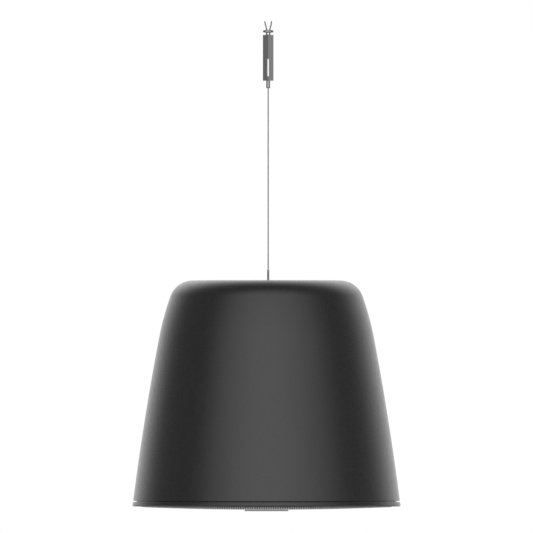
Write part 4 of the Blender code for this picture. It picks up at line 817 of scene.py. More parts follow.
def ring_piece(node, bore, ease, steps=96, name=None):
    """A turned ring as tall and wide as its node."""
    low, high, outer = round_box(node)
    profile = [(outer, high), (outer, low), (bore, low), (bore, high)]
    return lathe(node, profile, steps, ease, middle_of(node), name)


def slab_piece(node, edge, corner=0.0, segments=6, name=None):
    """A shown slab that fills its node's box, with rounded corners and broken edges."""
    low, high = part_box(node)
    shape = soften(slab(high - low, (low + high) / 2, corner, segments=segments), edge)
    return piece(name or f"{node}_shape", shape, node)


def bore_for(node, radius, low, high, steps=32):
    """A cutter that leaves clearance round the shank of a node and passes both ends."""
    return rod(radius + FIT, low - FIT, high + FIT, middle_of(node), steps)


def make_anchor_head():
    """Flange, domed on top and rounded below, on a short neck with an eye, and the clip's pocket."""
    low, high, radius = round_box("anchor_head")
    foot, middle = BAR_HIGH.z + FIT, high / 2
    dome, under = arc((0, 0), 1.0, QUARTER, 0, 8), arc((0, 1), 1, 0, -QUARTER, 5)
    profile = [(0, high)] + [(FLANGE_FLAT + (radius - FLANGE_FLAT) * x, middle + middle * z) for x, z in dome]
    profile += [(radius - FLANGE_ROUND * (1 - x), FLANGE_LOW * z) for x, z in under]
    profile += [(NECK_RADIUS, 0), (NECK_RADIUS, foot), (STUD_RADIUS, foot), (STUD_RADIUS, low), (0, low)]
    head = lathe("anchor_head", profile, 72, EDGE, HANGER)
    pocket = rod(POCKET_RADIUS, POCKET_FLOOR, 2 * high, steps=48)
    eye = shifted(rotated(rod(EYE_RADIUS, -2 * NECK_RADIUS, 2 * NECK_RADIUS), "X"), 0, 0, -EYE_DROP)
    size, reach = (4 * radius, radius, 2 * high), WRENCH_FLAT + radius / 2
    flats = [slab(size, (0, side * reach, middle)) for side in (-1, 1)]
    carve(head, *flats, pocket, eye)


def make_prongs():
    """The clip's wire: a bend in the pocket and two rounded ends that spread above it."""
    low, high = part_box("anchor_prongs")
    radius, half = PRONG_DIAMETER / 2, PRONG_BEND / 2
    bend = [(x, 0, z) for x, z in arc((0, low.z + radius + half), half, math.pi, TAU, 8)]
    upright = high.x - radius
    leg = [bend.pop(), (upright, 0, high.z - PRONG_UPRIGHT), (upright, 0, high.z)]
    path = [(low.x + radius, 0, high.z - radius / 4), *bend, *rounded_path(leg, PRONG_ELBOW)]
    piece("anchor_prongs_shape", swept(*round_ended(path, radius), 20), "anchor_prongs")


def make_gripper_bar():
    """Square bar set corner-on, with its window, the nozzle's chamber and the bores on its axis."""
    centre = (BAR_LOW + BAR_HIGH) / 2
    bar = slab((BAR_SIDE, BAR_SIDE, BAR_HIGH.z - BAR_LOW.z), (0, 0, centre.z), turn=math.radians(45))
    bar = piece("gripper_bar", soften(bar, BAR_EDGE), "gripper_body")
    window = slab((WINDOW_WIDTH, WINDOW_LENGTH, 4 * BAR_SIDE), (0, 0, 0), WINDOW_CORNER, segments=8)
    window = rotated(rotated(window, "X"), "Z", WINDOW_TURN)
    window = shifted(window, 0, 0, BAR_HIGH.z - WINDOW_DROP - WINDOW_LENGTH / 2)
    stud = rod(STUD_RADIUS + FIT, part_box("anchor_head")[0].z - FIT, BAR_HIGH.z + FIT)
    chamber = rod(CHAMBER_RADIUS, BAR_LOW.z - FIT, BAR_LOW.z + CHAMBER_DEPTH, steps=48)
    # The faces cut here take near-black steel: painted shade inside the window, the bores and the chamber.
    carve(bar, window, stud, chamber, rod(WIRE_BORE, BAR_LOW.z, centre.z), finish=BORE_SHADE_STEEL)


def make_bush():
    ring_piece("gripper_bush", NOZZLE_RADIUS + FIT, FINE_EDGE, 64, "bush_ring")


def make_nozzle():
    """Sleeve with a collar inside the bar, a slightly waisted shank and a rolled tip."""
    tip, top, collar = round_box("release_nozzle")
    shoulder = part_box("gripper_bush")[1].z + FIT
    pocket, floor = COLLET_RADIUS + FIT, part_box("grip_collet")[0].z - NOZZLE_TRAVEL - FIT / 2
    radius, waist, bead = NOZZLE_RADIUS, NOZZLE_RADIUS - NOZZLE_WAIST, tip + NOZZLE_BEAD
    profile = [(pocket, top), (collar, top), (collar, shoulder), (radius, shoulder)]
    profile += [(radius, BAR_LOW.z - NOZZLE_WAIST), (waist, BAR_LOW.z - 3 * NOZZLE_WAIST), (waist, bead)]
    profile += [(radius, bead - NOZZLE_WAIST), (radius, tip + NOZZLE_CHAMFER), (radius - NOZZLE_CHAMFER, tip)]
    profile += [(WIRE_BORE, tip), (WIRE_BORE, floor), (pocket, floor)]
    lathe("release_nozzle", profile, 72, FINE_EDGE, HANGER, name="nozzle_sleeve")


def make_spring():
    """Wave washer of round wire, which flattens as the nozzle goes up."""
    low, high, outer = round_box("nozzle_spring")
    radius, swing = outer - SPRING_WIRE, (high - low) / 2 - SPRING_WIRE
    angles = [TAU * i / 72 for i in range(72)]
    heights = [(high + low) / 2 + swing * math.cos(SPRING_WAVES * angle) for angle in angles]
    path = [(*around(radius, angle, HANGER), height) for angle, height in zip(angles, heights)]
    spring = piece("wave_spring", swept(path, [SPRING_WIRE] * len(path), 10, closed=True), "nozzle_spring")
    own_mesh(spring)


def make_collet():
    """Brass sleeve with a cone at its foot and three slits."""
    low, high, _ = round_box("grip_collet")
    outer = COLLET_RADIUS
    profile = [(outer, high), (outer, low + COLLET_CONE), (outer - COLLET_CONE / 2, low)]
    profile += [(WIRE_BORE, low), (WIRE_BORE, high)]
    collet = lathe("grip_collet", profile, 48, FINE_EDGE / 2, HANGER, name="collet_sleeve")
    size = (COLLET_RADIUS, COLLET_SLIT, COLLET_SLIT_DEPTH * (high - low))
    place = (WIRE_BORE + COLLET_RADIUS / 2, 0, high)
    carve(collet, *(rotated(slab(size, place), "Z", turn) for turn in (0, TAU / 3, -TAU / 3)))


def make_ferrule():
    """Swaged sleeve with two crimp rings above the shell, and the head that bears on the bracket."""
    low, top, head = round_box("wire_ferrule")
    radius, groove = FERRULE_RADIUS, FERRULE_GROOVE
    profile = [(0, top), (FERRULE_TIP * radius, top), (radius, top - radius / 2)]
    for height in (top - FERRULE_CRIMP, top - 2 * FERRULE_CRIMP):
        profile += [(radius, height + groove), (radius - groove / 2, height), (radius, height - groove)]
    profile += [(radius, low + FERRULE_HEAD), (head, low + FERRULE_HEAD), (head, low + FERRULE_HEAD / 4)]
    profile += [(FERRULE_FOOT * head, low), (0, low)]
    lathe("wire_ferrule", profile, 48, FINE_EDGE, HANGER, name="ferrule_sleeve")


def make_bare_plate():
    """Flat plate with rounded corners and broken edges under the middle of the grille."""
    slab_piece("bare_plate", PLATE_EDGE, PLATE_CORNER, 8, "plate_shape")


def make_magnets():
    for node in numbered("grille_magnet"):
        low, high, radius = round_box(node)
        piece(f"{node}_shape", rod(radius, low, high, middle_of(node), steps=40, ease=EDGE), node)


def make_screw(node, shank, head_up=False):
    """Pan-head screw: domed head with a cross recess, and a shank with thread ridges."""
    low, high, radius = round_box(node)
    head = SMALL_HEAD if head_up else SCREW_HEAD
    face, seat, tip = (high, high - head, low) if head_up else (low, low + head, high)
    out = 1 if head_up else -1
    pitch = out * THREAD_PITCH
    count = int(abs(seat - tip) / THREAD_PITCH) - 2
    rises = [SCREW_BRIM + (1 - SCREW_BRIM) * math.sin(angle) for angle in arc_angles(6)]
    dome = [(radius * math.cos(a), seat + out * head * rise) for a, rise in zip(arc_angles(6), rises)]
    profile = [(0, tip), (shank - THREAD_DEPTH, tip)]
    profile += ridges(shank, THREAD_DEPTH, tip + pitch, -pitch, count)
    profile += [(shank, seat), (radius, seat), *dome, (0, face)]
    screw = lathe(node, profile, 32, centre=middle_of(node))
    size = (2 * SCREW_CROSS * radius, SCREW_CROSS_WIDTH * radius, 2 * SCREW_CROSS_DEPTH * head)
    place = (*middle_of(node), face)
    return carve(screw, *(slab(size, place, turn=math.radians(turn)) for turn in (20, 110)))


def make_screws():
    """The screws of the baffle, the driver, the cup and the bracket."""
    for number in range(1, 5):
        make_screw(f"baffle_screw_{number}", SCREW_SHANK)
        make_screw(f"driver_screw_{number}", SCREW_SHANK)
        make_screw(f"cup_screw_{number}", SMALL_SHANK, head_up=True)
    for node in numbered("bracket_screw", 2):
        make_screw(node, SCREW_SHANK)


def make_basket():
    """Pressed frame of the driver with six rounded windows between its arms."""
    sheet, fold, seat = BASKET_SHEET, BASKET_FOLD * BASKET_SHEET, SPIDER_SEAT
    floor, floor_front = BASKET_FLOOR, BASKET_FLOOR + sheet
    back, front = FLANGE_FRONT - sheet, FLANGE_FRONT
    outer, throat = SPIDER_SEAT_RADIUS, BASKET_THROAT
    inner = outer - SPIDER_SEAT_WIDTH
    profile = [(BASKET_BORE, floor), (BASKET_FLOOR_RADIUS, floor), (inner, seat - sheet)]
    profile += [(outer, seat - sheet), (throat, back - sheet), (throat, back)]
    profile += [(BASKET_RADIUS, back), (BASKET_RADIUS, front)]
    profile += [(throat - sheet, front), (throat - sheet, back - fold / 2), (outer - fold / 2, seat)]
    profile += [(inner - fold, seat), (BASKET_FLOOR_RADIUS - fold, floor_front), (BASKET_BORE, floor_front)]
    basket = lathe("basket", below(profile), 120, SOFT_EDGE)
    start = outer + sheet
    width = TAU * start / BASKET_WINDOWS - BASKET_ARM
    height = back - seat - 2 * BASKET_WINDOW_MARGIN
    cuts = []
    for i in range(BASKET_WINDOWS):
        window = slab((height, width, 2 * (throat - start)), (0, 0, 0), BASKET_WINDOW_CORNER * height)
        window = shifted(rotated(window, "Y"), (start + throat) / 2, 0, 0)
        window = rotated(window, "Z", TAU * (i + 0.5) / BASKET_WINDOWS)
        cuts.append(shifted(window, AXIS_X, 0, SHELL_TOP - (back + seat) / 2))
    for node in numbered("driver_screw"):
        cuts.append(bore_for(node, SCREW_SHANK, SHELL_TOP - front, SHELL_TOP - back))
    carve(basket, *cuts)


def make_motor():
    """Plates and ring magnet with broken edges, and the yoke with its pole."""
    ring_piece("front_plate", PLATE_BORE, SOFT_EDGE)
    ring_piece("magnet_ring", RING_BORE, ROUND_EDGE)
    low, high, outer = round_box("pole_yoke")
    seat = high - YOKE_HEIGHT
    profile = [(0, high), (outer, high), (outer, seat), (POLE_RADIUS, seat), (POLE_RADIUS, low), (0, low)]
    lathe("pole_yoke", profile, ease=ROUND_EDGE)


def make_voice_coil():
    """Former with a winding of fine ridges."""
    low, high, outer = round_box("voice_coil")
    plate_low, plate_high, _ = round_box("front_plate")
    former = outer - COIL_WINDING
    inner, half = former - COIL_SHEET, COIL_WINDING_LENGTH / 2
    start, stop = (plate_low + plate_high) / 2 + half, (plate_low + plate_high) / 2 - half
    step = COIL_WINDING_LENGTH / COIL_TURNS
    profile = [(inner, high), (former, high), (former, start)]
    profile += ridges(outer, COIL_WINDING / 4, start, step, COIL_TURNS)
    lathe("voice_coil", profile + [(former, stop), (former, low), (inner, low)], 72)


def flexing(stem, profile, node, steps):
    """A turned ring in sectors. Each is given points at the cone inside it and the basket round it as its
    bend, but it is not bent.
    """
    half = math.pi / FLEX_SECTORS
    radii = [radius for radius, _ in profile]
    lengths = min(radii) + FLEX_LIP, (max(radii) - FLEX_LIP) * math.cos(half)
    for k in range(FLEX_SECTORS):
        middle = TAU * k / FLEX_SECTORS
        angles = [middle - half + 2 * half * i / steps for i in range(steps + 1)]
        rings = [[(*around(r, a), z) for r, z in profile] for a in angles]
        bend = [(*around(r, middle), 0) for r in lengths]
        piece(f"{stem}_{k + 1}", loft(rings), node, bend=bend)


def make_spider():
    """Cloth disc with round corrugations."""
    low, high, outer = round_box("spider")
    inner, half = COIL_FORMER + FIT, SPIDER_SHEET / 2
    wave = (high - low - SPIDER_SHEET) / 2
    line = []
    for share in (i / 60 for i in range(61)):
        waved = SPIDER_WAVED[0] < share < SPIDER_WAVED[1]
        swing = math.cos(TAU * SPIDER_WAVES * share) if waved else 1.0
        line.append((inner + (outer - inner) * share, low + wave + half - wave * swing))
    profile = [(radius, height + half) for radius, height in line]
    profile += [(radius, height - half) for radius, height in line[::-1]]
    flexing("spider_sector", profile, "spider", 8)


def make_cone():
    """Bowed paper cone with shallow stiffening rings."""
    low, high, outer = round_box("cone")
    inner, fall = COIL_FORMER + FIT, high - low - CONE_SHEET
    line = []
    for share in (i / 40 for i in range(41)):
        ringed = CONE_RINGED[0] < share < CONE_RINGED[1]
        ring = CONE_RING * min(math.cos(TAU * CONE_RINGS * share), 0) if ringed else 0
        bow = CONE_BOW * 4 * share * (1 - share)
        line.append((inner + (outer - inner) * share, high - fall * share - bow + ring))
    lathe("cone", line + [(radius, height - CONE_SHEET) for radius, height in line[::-1]], 120)


def make_surround():
    """Half-roll rubber ring with flat lips."""
    _, top, edge = round_box("surround")
    outer, flat = edge - SURROUND_LIP, top - SURROUND_SHEET
    roll = SURROUND_WIDTH / 2
    middle, lip = outer - roll, outer - SURROUND_WIDTH - SURROUND_LIP
    profile = [(lip, flat), *arc((middle, flat), roll, math.pi, TAU, 18), (edge, flat), (edge, top)]
    profile += [*arc((middle, top), roll - SURROUND_SHEET, TAU, math.pi, 18), (lip, top)]
    flexing("surround_sector", profile, "surround", 10)


def make_tweeter():
    """Body, rounded bezel and the dome inside it."""
    low, high, bezel = round_box("tweeter_body")
    radius, bowl = TWEETER_RADIUS, TWEETER_DOME + FIT
    step = bezel - radius
    front = low + 0.3 * step
    profile = [(0, high), (radius, high), (radius, front + 1.5 * step), (bezel, front + step / 2)]
    profile += [(bezel, front), (bezel - 0.3 * step, low), (bowl, front + 0.2 * step)]
    profile += [(bowl, front + step), (0, front + step)]
    lathe("tweeter_body", eased(profile, TUBE_EDGE, steps=4))
    low, high, _ = round_box("tweeter_dome")
    radius, top = TWEETER_DOME, high - TWEETER_EDGE
    dome = [(radius * math.cos(a), top - (top - low) * math.sin(a)) for a in arc_angles(14)]
    lathe("tweeter_dome", [(0, high), (radius, high), *dome, (0, low)], 72)


def make_port():
    """Flared tube with a rounded flange."""
    low, high, lip = round_box("port_tube")
    outer, seat, sheet = lip - PORT_LIP, low + PORT_FLANGE, low + PORT_FLANGE_SHEET
    flare = arc((0, 0), 1.0, -QUARTER, -math.pi, 8)
    flare = [(outer + x * PORT_WALL, seat + z * PORT_FLANGE) for x, z in flare]
    profile = [(outer, high), (outer, sheet), (lip, sheet), (lip, low), *flare, (outer - PORT_WALL, high)]
    lathe("port_tube", profile, 64, TUBE_EDGE, middle_of("port_tube"))


def make_gasket():
    ring_piece("driver_gasket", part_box("driver_gasket")[1].x - AXIS_X - GASKET_WIDTH, GASKET_EDGE)


def make_bracket():
    """Steel strip with rounded corners and broken edges, bored for its screws and the ferrule."""
    bracket = slab_piece("top_bracket", BRACKET_EDGE, BRACKET_CORNER)
    low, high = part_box("top_bracket")
    bores = [bore_for(node, SCREW_SHANK, low.z, high.z) for node in numbered("bracket_screw", 2)]
    carve(bracket, *bores, bore_for("wire_ferrule", FERRULE_RADIUS, low.z, high.z))


def make_transformer():
    """Stacked iron sheets round a bobbin whose taped winding bulges out of both open sides."""
    low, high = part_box("transformer")
    centre, size = (low + high) / 2, high - low
    rings = []
    sheet = CORE_STACK / CORE_SHEETS
    for i in range(CORE_SHEETS):
        start = centre.y - CORE_STACK / 2 + i * sheet
        for y, inset in ((start, CORE_GROOVE), (start + CORE_GROOVE, 0), (start + sheet - CORE_GROOVE, 0)):
            x, z = size.x / 2 - inset, size.z / 2 - inset
            corners = (-x, -z), (x, -z), (x, z), (-x, z)
            rings.append([(centre.x + right, y, centre.z + up) for right, up in corners])
    piece("transformer_core", loft(rings), "transformer")
    reach = (size.y - CORE_STACK) / 2
    for side in (-1, 1):
        place = (centre.x, centre.y + side * (CORE_STACK + reach) / 2, centre.z)
        winding = slab((WINDING_LENGTH, reach - WINDING_INSET, WINDING_HEIGHT), place)
        winding = soften(winding, WINDING_ROUND, segments=5)
        piece(f"transformer_winding_{side + 2}", winding, "transformer", finish=TAPE)


def make_safety_insert():
    """Flanged insert with a countersunk, threaded bore."""
    low, high, flange = round_box("safety_insert")
    seat, radius, bore, pitch = SHELL_TOP - SHELL_WALL - FIT, INSERT_RADIUS, INSERT_BORE, INSERT_PITCH
    count = int((high - low) / pitch) - 1
    profile = [(radius, high), (radius, seat), (flange, seat), (flange, seat - INSERT_SHEET)]
    profile += [(radius, seat - INSERT_SHEET), (radius, low), (bore, low)]
    profile += ridges(bore + INSERT_THREAD, INSERT_THREAD, low + pitch / 2, -pitch, count)[:-1]
    profile += [(bore, high - pitch), (bore + pitch / 2, high)]
    lathe("safety_insert", profile, 64, centre=middle_of("safety_insert"))


def make_cup():
    """Flanged tray with rounded corners, countersunk for its screws and bored for the switch's shaft."""
    low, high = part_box("terminal_cup")
    size, (x, y), sheet = high - low, middle_of("terminal_cup"), CUP_FLANGE_SHEET
    flange = slab((size.x, size.y, sheet), (x, y, high.z - sheet / 2), CUP_CORNER)
    cup = piece("terminal_cup_shape", soften(flange, CUP_EDGE), "terminal_cup")
    length, width, tall = size.x - 2 * CUP_FLANGE, size.y - 2 * CUP_FLANGE, size.z - sheet / 2
    tray = slab((length, width, tall), (x, y, low.z + tall / 2), CUP_CORNER)
    carve(cup, soften(tray, CUP_EDGE), operation="UNION")
    size = (length - 2 * CUP_WALL, width - 2 * CUP_WALL, 2 * (size.z - CUP_WALL))
    hollow = soften(slab(size, (x, y, high.z), CUP_CORNER - CUP_WALL / 2), CUP_EDGE)
    cuts = [hollow, rod(SHAFT_RADIUS + FIT, low.z - FIT, high.z, middle_of("tap_selector_knob"))]
    for node in numbered("cup_screw"):
        cuts.append(rod(SMALL_SHANK + FIT, high.z - 2 * sheet, high.z, middle_of(node)))
        head = round_box(node)[2] + 2 * FIT
        cuts.append(rod(head, high.z - SMALL_HEAD - 2 * FIT, high.z + FIT, middle_of(node)))
    carve(cup, *cuts)


def make_terminal_block():
    """Four-pole block: grooves between the poles, square wire entries and a well over each screw."""
    low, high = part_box("terminal_block")
    block = slab_piece("terminal_block", BLOCK_EDGE)
    depth, screws, cuts = high.y - low.y, numbered("terminal_screw"), []
    for node, following in zip(screws, screws[1:] + [None]):
        x, y = middle_of(node)
        foot, top, _ = round_box(node)
        cuts.append(rod(POLE_BORE, foot - FIT, high.z + FIT, (x, y), steps=40))
        place = (x, y - depth + ENTRY_DEPTH, low.z + ENTRY_HEIGHT)
        cuts.append(slab((2 * POLE_BORE, depth, ENTRY_HEIGHT), place))
        if following:
            middle = (x + middle_of(following)[0]) / 2
            cuts.append(slab((BLOCK_GROOVE, 2 * depth, 2 * BLOCK_GROOVE), (middle, y, high.z)))
        screw = piece(f"{node}_shape", rod(POLE_BORE - FIT, foot, top, (x, y), steps=40, ease=EDGE), node)
        carve(screw, slab((3 * POLE_BORE, POLE_SLOT, 2 * POLE_SLOT), (x, y, top), turn=math.radians(30)))
    carve(block, *cuts)


def make_selector():
    """Switch body under the cup, and the fluted knob with a white pointer let into its top."""
    low, high, radius = round_box("selector_body")
    knob_low, top, _ = round_box("tap_selector_knob")
    centre = middle_of("tap_selector_knob")
    bore, floor = SHAFT_RADIUS + FIT, knob_low - FIT
    profile = [(bore, high), (radius, high), (radius, low), (0, low), (0, floor), (bore, floor)]
    lathe("selector_body", profile, 72, SWITCH_EDGE, middle_of("selector_body"))
    foot, radius, shaft = top - KNOB_HEIGHT, KNOB_RADIUS, SHAFT_RADIUS
    profile = [(0, top), (KNOB_TOP * radius, top), (KNOB_SHOULDER * radius, top - KNOB_CHAMFER)]
    profile += [(radius, foot), (shaft, foot), (shaft, knob_low), (0, knob_low)]
    knob = lathe("tap_selector_knob", profile, 96, TUBE_EDGE, centre, name="knob_shape")
    turns = [TAU * (i + 0.5) / KNOB_FLUTES for i in range(KNOB_FLUTES)]
    places = [around(radius + KNOB_FLUTE_INSET, turn, centre) for turn in turns]
    flutes = [rod(KNOB_FLUTE, foot - FIT, foot + KNOB_FLUTE_LENGTH, place, steps=24) for place in places]
    x, y = centre[0] + radius / 2, centre[1]
    carve(knob, *flutes, slab((POINTER_LENGTH, POINTER_WIDTH, 2 * POINTER_DEPTH), (x, y, top)))
    size = (POINTER_LENGTH - FIT, POINTER_WIDTH - FIT, POINTER_DEPTH / 2)
    inlay = slab(size, (x - FIT, y, top - 0.75 * POINTER_DEPTH))
    piece("knob_pointer", inlay, "tap_selector_knob", finish=POINTER_PAINT)


def make_crossover():
    """Board, the wound coil and two film capacitors with rounded ends."""
    slab_piece("crossover_board", FINE_EDGE, BOARD_CORNER)
    low, high, outer = round_box("inductor")
    step = (high - low) / INDUCTOR_TURNS
    profile = [(COIL_BORE, high), *ridges(outer, step / 3, high, step, INDUCTOR_TURNS), (COIL_BORE, low)]
    lathe("inductor", profile, 72, centre=middle_of("inductor"), name="inductor_winding")
    for node in numbered("capacitor", 2):
        low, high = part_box(node)
        size = high - low
        shape = rotated(rod(size.z / 2, -size.x / 2, size.x / 2, steps=48, ease=CAPACITOR_EDGE), "Y")
        piece(f"{node}_shape", shifted(shape, *(low + high) / 2), node)


def make_wadding():
    """Soft lining: even against the wall, lumpy on its inner side."""
    low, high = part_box("wadding")
    rings = []
    depths = [SHELL_TOP - high.z + (high.z - low.z) * i / 24 for i in range(25)]
    wall = SHELL_WALL + 2 * FIT
    for depth in depths:
        rings.append(ring_points(wall_radius(wall, depth), SHELL_TOP - depth, 144))
    for ring in rings[::-1]:
        inner = []
        for x, y, height in ring:
            soft = noise.noise(Vector((x, y, height)) * WADDING_LUMPS)
            reach = math.hypot(x - AXIS_X, y)
            share = (reach - WADDING_THICKNESS + WADDING_LUMP * (1 + soft) / 2) / reach
            inner.append((AXIS_X + (x - AXIS_X) * share, y * share, height))
        rings.append(inner)
    piece("wadding_lining", loft(rings, closed=True), "wadding")


def make_wire():
    """Rope of twisted strands, taut between the ferrule and the gripper."""
    low, length = WIRE_LOW.z, WIRE_HIGH.z - WIRE_LOW.z
    count = round(length / ROPE_STEP)
    sides = 6 * ROPE_STRANDS
    rings = []
    for k in range(count + 1):
        height = low + length * k / count
        ring = []
        for angle in (TAU * i / sides for i in range(sides)):
            lobe = abs(math.cos(ROPE_STRANDS * angle / 2)) ** ROPE_BULGE
            reach = WIRE_DIAMETER / 2 * (ROPE_VALLEY + (1 - ROPE_VALLEY) * lobe)
            ring.append((*around(reach, angle + TAU * height / ROPE_LAY, HANGER), height))
        rings.append(ring)
    wire = piece("wire_rope", loft(rings), "suspension_wire")
    for face in wire.data.polygons:
        face.use_smooth = True


def shell_arcs(wall):
    """The three arcs' centres, radii and angles, offset inwards by wall."""
    x, depth = SHELL_FLAT_RADIUS, 0.0
    arcs = []
    for radius, start, end in (
        (SHOULDER_ARC, 0.0, SHOULDER_ANGLE),
        (SIDE_ARC, SHOULDER_ANGLE, SIDE_ANGLE),
        (SKIRT_ARC, SIDE_ANGLE, None),
    ):
        cx, cz = x - radius * math.sin(start), depth + radius * math.cos(start)
        if end is None:
            end = math.acos((cz - SHELL_HEIGHT) / (radius - wall))
        arcs.append((cx, cz, radius - wall, start, end))
        x, depth = cx + radius * math.sin(end), cz - radius * math.cos(end)
    return arcs


def shell_line(wall, counts=(28, 8, 10)):
    """Points of (radius, depth) from the flat top to the bottom edge."""
    points = []
    for (cx, cz, radius, start, end), count in zip(shell_arcs(wall), counts):
        for i in range(count + 1):
            angle = start + (end - start) * i / count
            points.append((cx + radius * math.sin(angle), cz - radius * math.cos(angle)))
    return [p for i, p in enumerate(points) if not i or math.dist(p, points[i - 1]) > TINY]


def wall_radius(wall, depth):
    """Radius of the shell's surface at a depth, offset inwards by wall."""
    points = shell_line(wall)
    for (r0, d0), (r1, d1) in zip(points, points[1:]):
        if d0 <= depth <= d1:
            return r0 + (r1 - r0) * (depth - d0) / (d1 - d0)
    return points[-1][0]


def shell_bosses():
    """Bosses for the bracket's and the baffle's screws, with ribs to the wall, and those screws' bores."""
    low = SHELL_TOP - SHELL_WALL - BOSS_HEIGHT
    bracket_screws, baffle_screws = numbered("bracket_screw", 2), numbered("baffle_screw")
    bosses = [rod(BOSS_RADIUS, low, SHELL_TOP - SHELL_WALL / 2, middle_of(node)) for node in bracket_screws]
    bores = [bore_for(node, SCREW_SHANK, low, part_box(node)[1].z) for node in bracket_screws]
    low = SHELL_TOP - BAFFLE_BACK + FIT
    high = low + BAFFLE_BOSS_HEIGHT
    reach = wall_radius(SHELL_WALL / 2, SHELL_TOP - high)
    for node in baffle_screws:
        x, y = middle_of(node)
        circle, angle = math.hypot(x - AXIS_X, y), math.atan2(y, x - AXIS_X)
        place = (*around((circle + reach) / 2, angle), (low + high) / 2)
        bosses.append(rod(BAFFLE_BOSS_RADIUS, low, high, (x, y)))
        bosses.append(slab((reach - circle, BOSS_RIB, BAFFLE_BOSS_HEIGHT - 4 * FIT), place, turn=angle))
        bores.append(bore_for(node, SCREW_SHANK, low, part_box(node)[1].z))
    return bosses, bores


def make_shell():
    """Turned bell with a rolled lip, its inner bosses, the terminal cup's seat and the holes in its top."""
    outer = shell_line(0.0)
    edge, depth = outer.pop()
    lip = arc((edge - SHELL_LIP, depth - SHELL_LIP), SHELL_LIP, 0, QUARTER, 3)
    inner = shell_line(SHELL_WALL, counts=(10, 3, 3))[::-1]
    profile = below([(0, 0), *outer, *lip, *inner, (0, SHELL_WALL)])
    shell = lathe("shell", profile, SHELL_STEPS, name="housing_shell")
    bosses, bores = shell_bosses()
    carve(shell, *bosses, operation="UNION")
    low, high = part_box("terminal_cup")
    place = (*middle_of("terminal_cup"), SHELL_TOP)
    for margin, depth in ((FIT, CUP_FLANGE_SHEET + FIT), (FIT - CUP_FLANGE, 2 * SHELL_WALL)):
        size = (high.x - low.x + 2 * margin, high.y - low.y + 2 * margin, 2 * depth)
        bores.append(slab(size, place, CUP_CORNER))
    through = SHELL_TOP - 2 * SHELL_WALL, SHELL_TOP + SHELL_WALL
    bores.append(rod(INSERT_RADIUS + FIT, *through, middle_of("safety_insert"), steps=48))
    bores.append(rod(FERRULE_RADIUS + FIT, *through))
    bores += [rod(SMALL_SHANK + FIT, *through, middle_of(node)) for node in numbered("cup_screw")]
    carve(shell, *bores)


def rim_outer():
    return wall_radius(0, SHELL_HEIGHT) + RIM_GAP / math.tan(shell_arcs(0)[2][4])


def grille_radius():
    return rim_outer() - RIM_BAND - FIT


def grille_depth(radius):
    """The dome, with a rounded fold at its edge that ends inside the rim's seat."""
    full = grille_radius()
    into = max(0.0, (radius - full + GRILLE_FOLD) / GRILLE_FOLD)
    fold = GRILLE_FOLD_DROP * (1 - math.sqrt(max(0.0, 1 - into**2)))
    return RIM_BOTTOM + GRILLE_EDGE_DROP + GRILLE_SAG * (1 - (radius / full) ** 2) - fold


def make_baffle():
    """The neck inside the shell, the rim under it and the plate that carries the driver."""
    fit = SHELL_WALL + FIT
    rim = rim_outer()
    rim_low = rim + RIM_HEIGHT / math.tan(shell_arcs(0)[2][4])
    seat, neck = rim - RIM_BAND, wall_radius(fit, SHELL_HEIGHT)
    opening, ledge = CUTOUT_RADIUS, rim - RIM_BAND - LEDGE_WIDTH
    profile = [(opening, BAFFLE_BACK), (wall_radius(fit, BAFFLE_BACK), BAFFLE_BACK), (neck, SHELL_HEIGHT)]
    profile += [(neck, RIM_TOP), (rim - RIM_EDGE, RIM_TOP), (rim, RIM_TOP + RIM_EDGE)]
    profile += arc((rim_low - RIM_ROUND, RIM_BOTTOM - RIM_ROUND), RIM_ROUND, 0, QUARTER, 8)
    profile += [(seat + RIM_EDGE, RIM_BOTTOM), (seat, RIM_BOTTOM - RIM_EDGE), (seat, LEDGE), (ledge, LEDGE)]
    profile += [(ledge, BAFFLE_FRONT), (opening, BAFFLE_FRONT)]
    baffle = lathe("baffle", below(profile), SHELL_STEPS, name="baffle_and_rim")
    port_low, port_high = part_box("port_tube")
    reach = (port_high.y - port_low.y) / 2 - PORT_LIP
    low, high = SHELL_TOP - BAFFLE_FRONT, SHELL_TOP - BAFFLE_BACK
    bosses, bores = [], [bore_for("port_tube", reach, low, high, steps=64)]
    for number in range(1, 5):
        node = f"grille_magnet_{number}"
        foot, top, radius = round_box(node)
        wall = radius + MAGNET_BOSS_WALL
        bosses.append(rod(wall, foot + FIT, low - FIT + BAFFLE_PLATE / 2, middle_of(node)))
        bores.append(rod(radius + FIT, foot - FIT, top + FIT / 2, middle_of(node)))
        for stem in ("baffle_screw", "driver_screw"):
            bores.append(bore_for(f"{stem}_{number}", SCREW_SHANK, low, high))
    carve(baffle, *bosses, operation="UNION")
    carve(baffle, *bores)


def hole_places(limit):
    """Centres of the staggered holes, rows along X."""
    step = HOLE_PITCH / 2
    rows = math.ceil(limit / step)
    columns = math.ceil(limit / HOLE_PITCH) + 1
    for row in range(-rows, rows + 1):
        for column in range(-columns, columns + 1):
            x, y = (column + 0.5 * (row % 2)) * HOLE_PITCH, row * step
            if math.hypot(x, y) <= limit:
                yield x, y


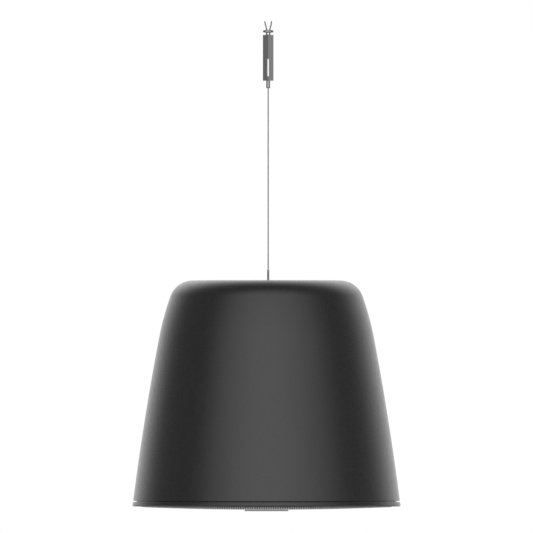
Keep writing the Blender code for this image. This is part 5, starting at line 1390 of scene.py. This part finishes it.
def make_grille():
    """Perforated sheet: a square cell round each hole, a plain margin, and the pressing's shallow dome."""
    shape = bmesh.new()
    edge = grille_radius()
    corners = {}

    def corner(x, y):
        key = (round(x / WELD), round(y / WELD))
        if key not in corners:
            corners[key] = shape.verts.new((x, y, 0))
        return corners[key]

    cell, hole = HOLE_PITCH / 2, HOLE_DIAMETER / 2
    turns = [TAU * i / HOLE_SIDES for i in range(HOLE_SIDES)]
    for centre in hole_places(edge - GRILLE_MARGIN - hole):
        square = [corner(*around(cell, TAU * k / 4, centre)) for k in range(4)]
        ring = [shape.verts.new((*around(hole, turn, centre), 0)) for turn in turns]
        for k in range(4):
            near = [ring[(2 * k + i) % HOLE_SIDES] for i in (0, 1, 2)]
            first, last = square[k], square[(k + 1) % 4]
            for face in ((first, near[1], near[0]), (first, last, near[1]), (last, near[2], near[1])):
                shape.faces.new(face)
    outer = [shape.verts.new(point) for point in ring_points(edge, 0, SHELL_STEPS, HANGER)]
    kept = set(corners.values())
    rim = [e for e in shape.edges if e.is_boundary and e.verts[0] in kept and e.verts[1] in kept]
    rim += [shape.edges.new((outer[i - 1], outer[i])) for i in range(SHELL_STEPS)]
    bmesh.ops.triangle_fill(shape, use_beauty=True, edges=rim)
    bmesh.ops.recalc_face_normals(shape, faces=shape.faces)
    bmesh.ops.solidify(shape, geom=shape.faces[:], thickness=GRILLE_THICKNESS)
    heights = [v.co.z for v in shape.verts]
    middle = (max(heights) + min(heights)) / 2
    for v in shape.verts:
        depth = grille_depth(math.hypot(v.co.x, v.co.y))
        v.co = (v.co.x + AXIS_X, v.co.y, SHELL_TOP - depth + (GRILLE_THICKNESS if v.co.z > middle else 0))
    bmesh.ops.recalc_face_normals(shape, faces=shape.faces)
    piece("grille_sheet", shape, "grille")


dress_nodes()
make_anchor_head()
make_prongs()
make_gripper_bar()
make_bush()
make_nozzle()
make_spring()
make_collet()
make_ferrule()
make_bare_plate()
make_magnets()
make_screws()
make_basket()
make_motor()
make_voice_coil()
make_spider()
make_cone()
make_surround()
make_gasket()
make_tweeter()
make_port()
make_bracket()
make_transformer()
make_safety_insert()
make_cup()
make_terminal_block()
make_selector()
make_crossover()
make_wadding()
make_wire()
make_shell()
make_baffle()
make_grille()
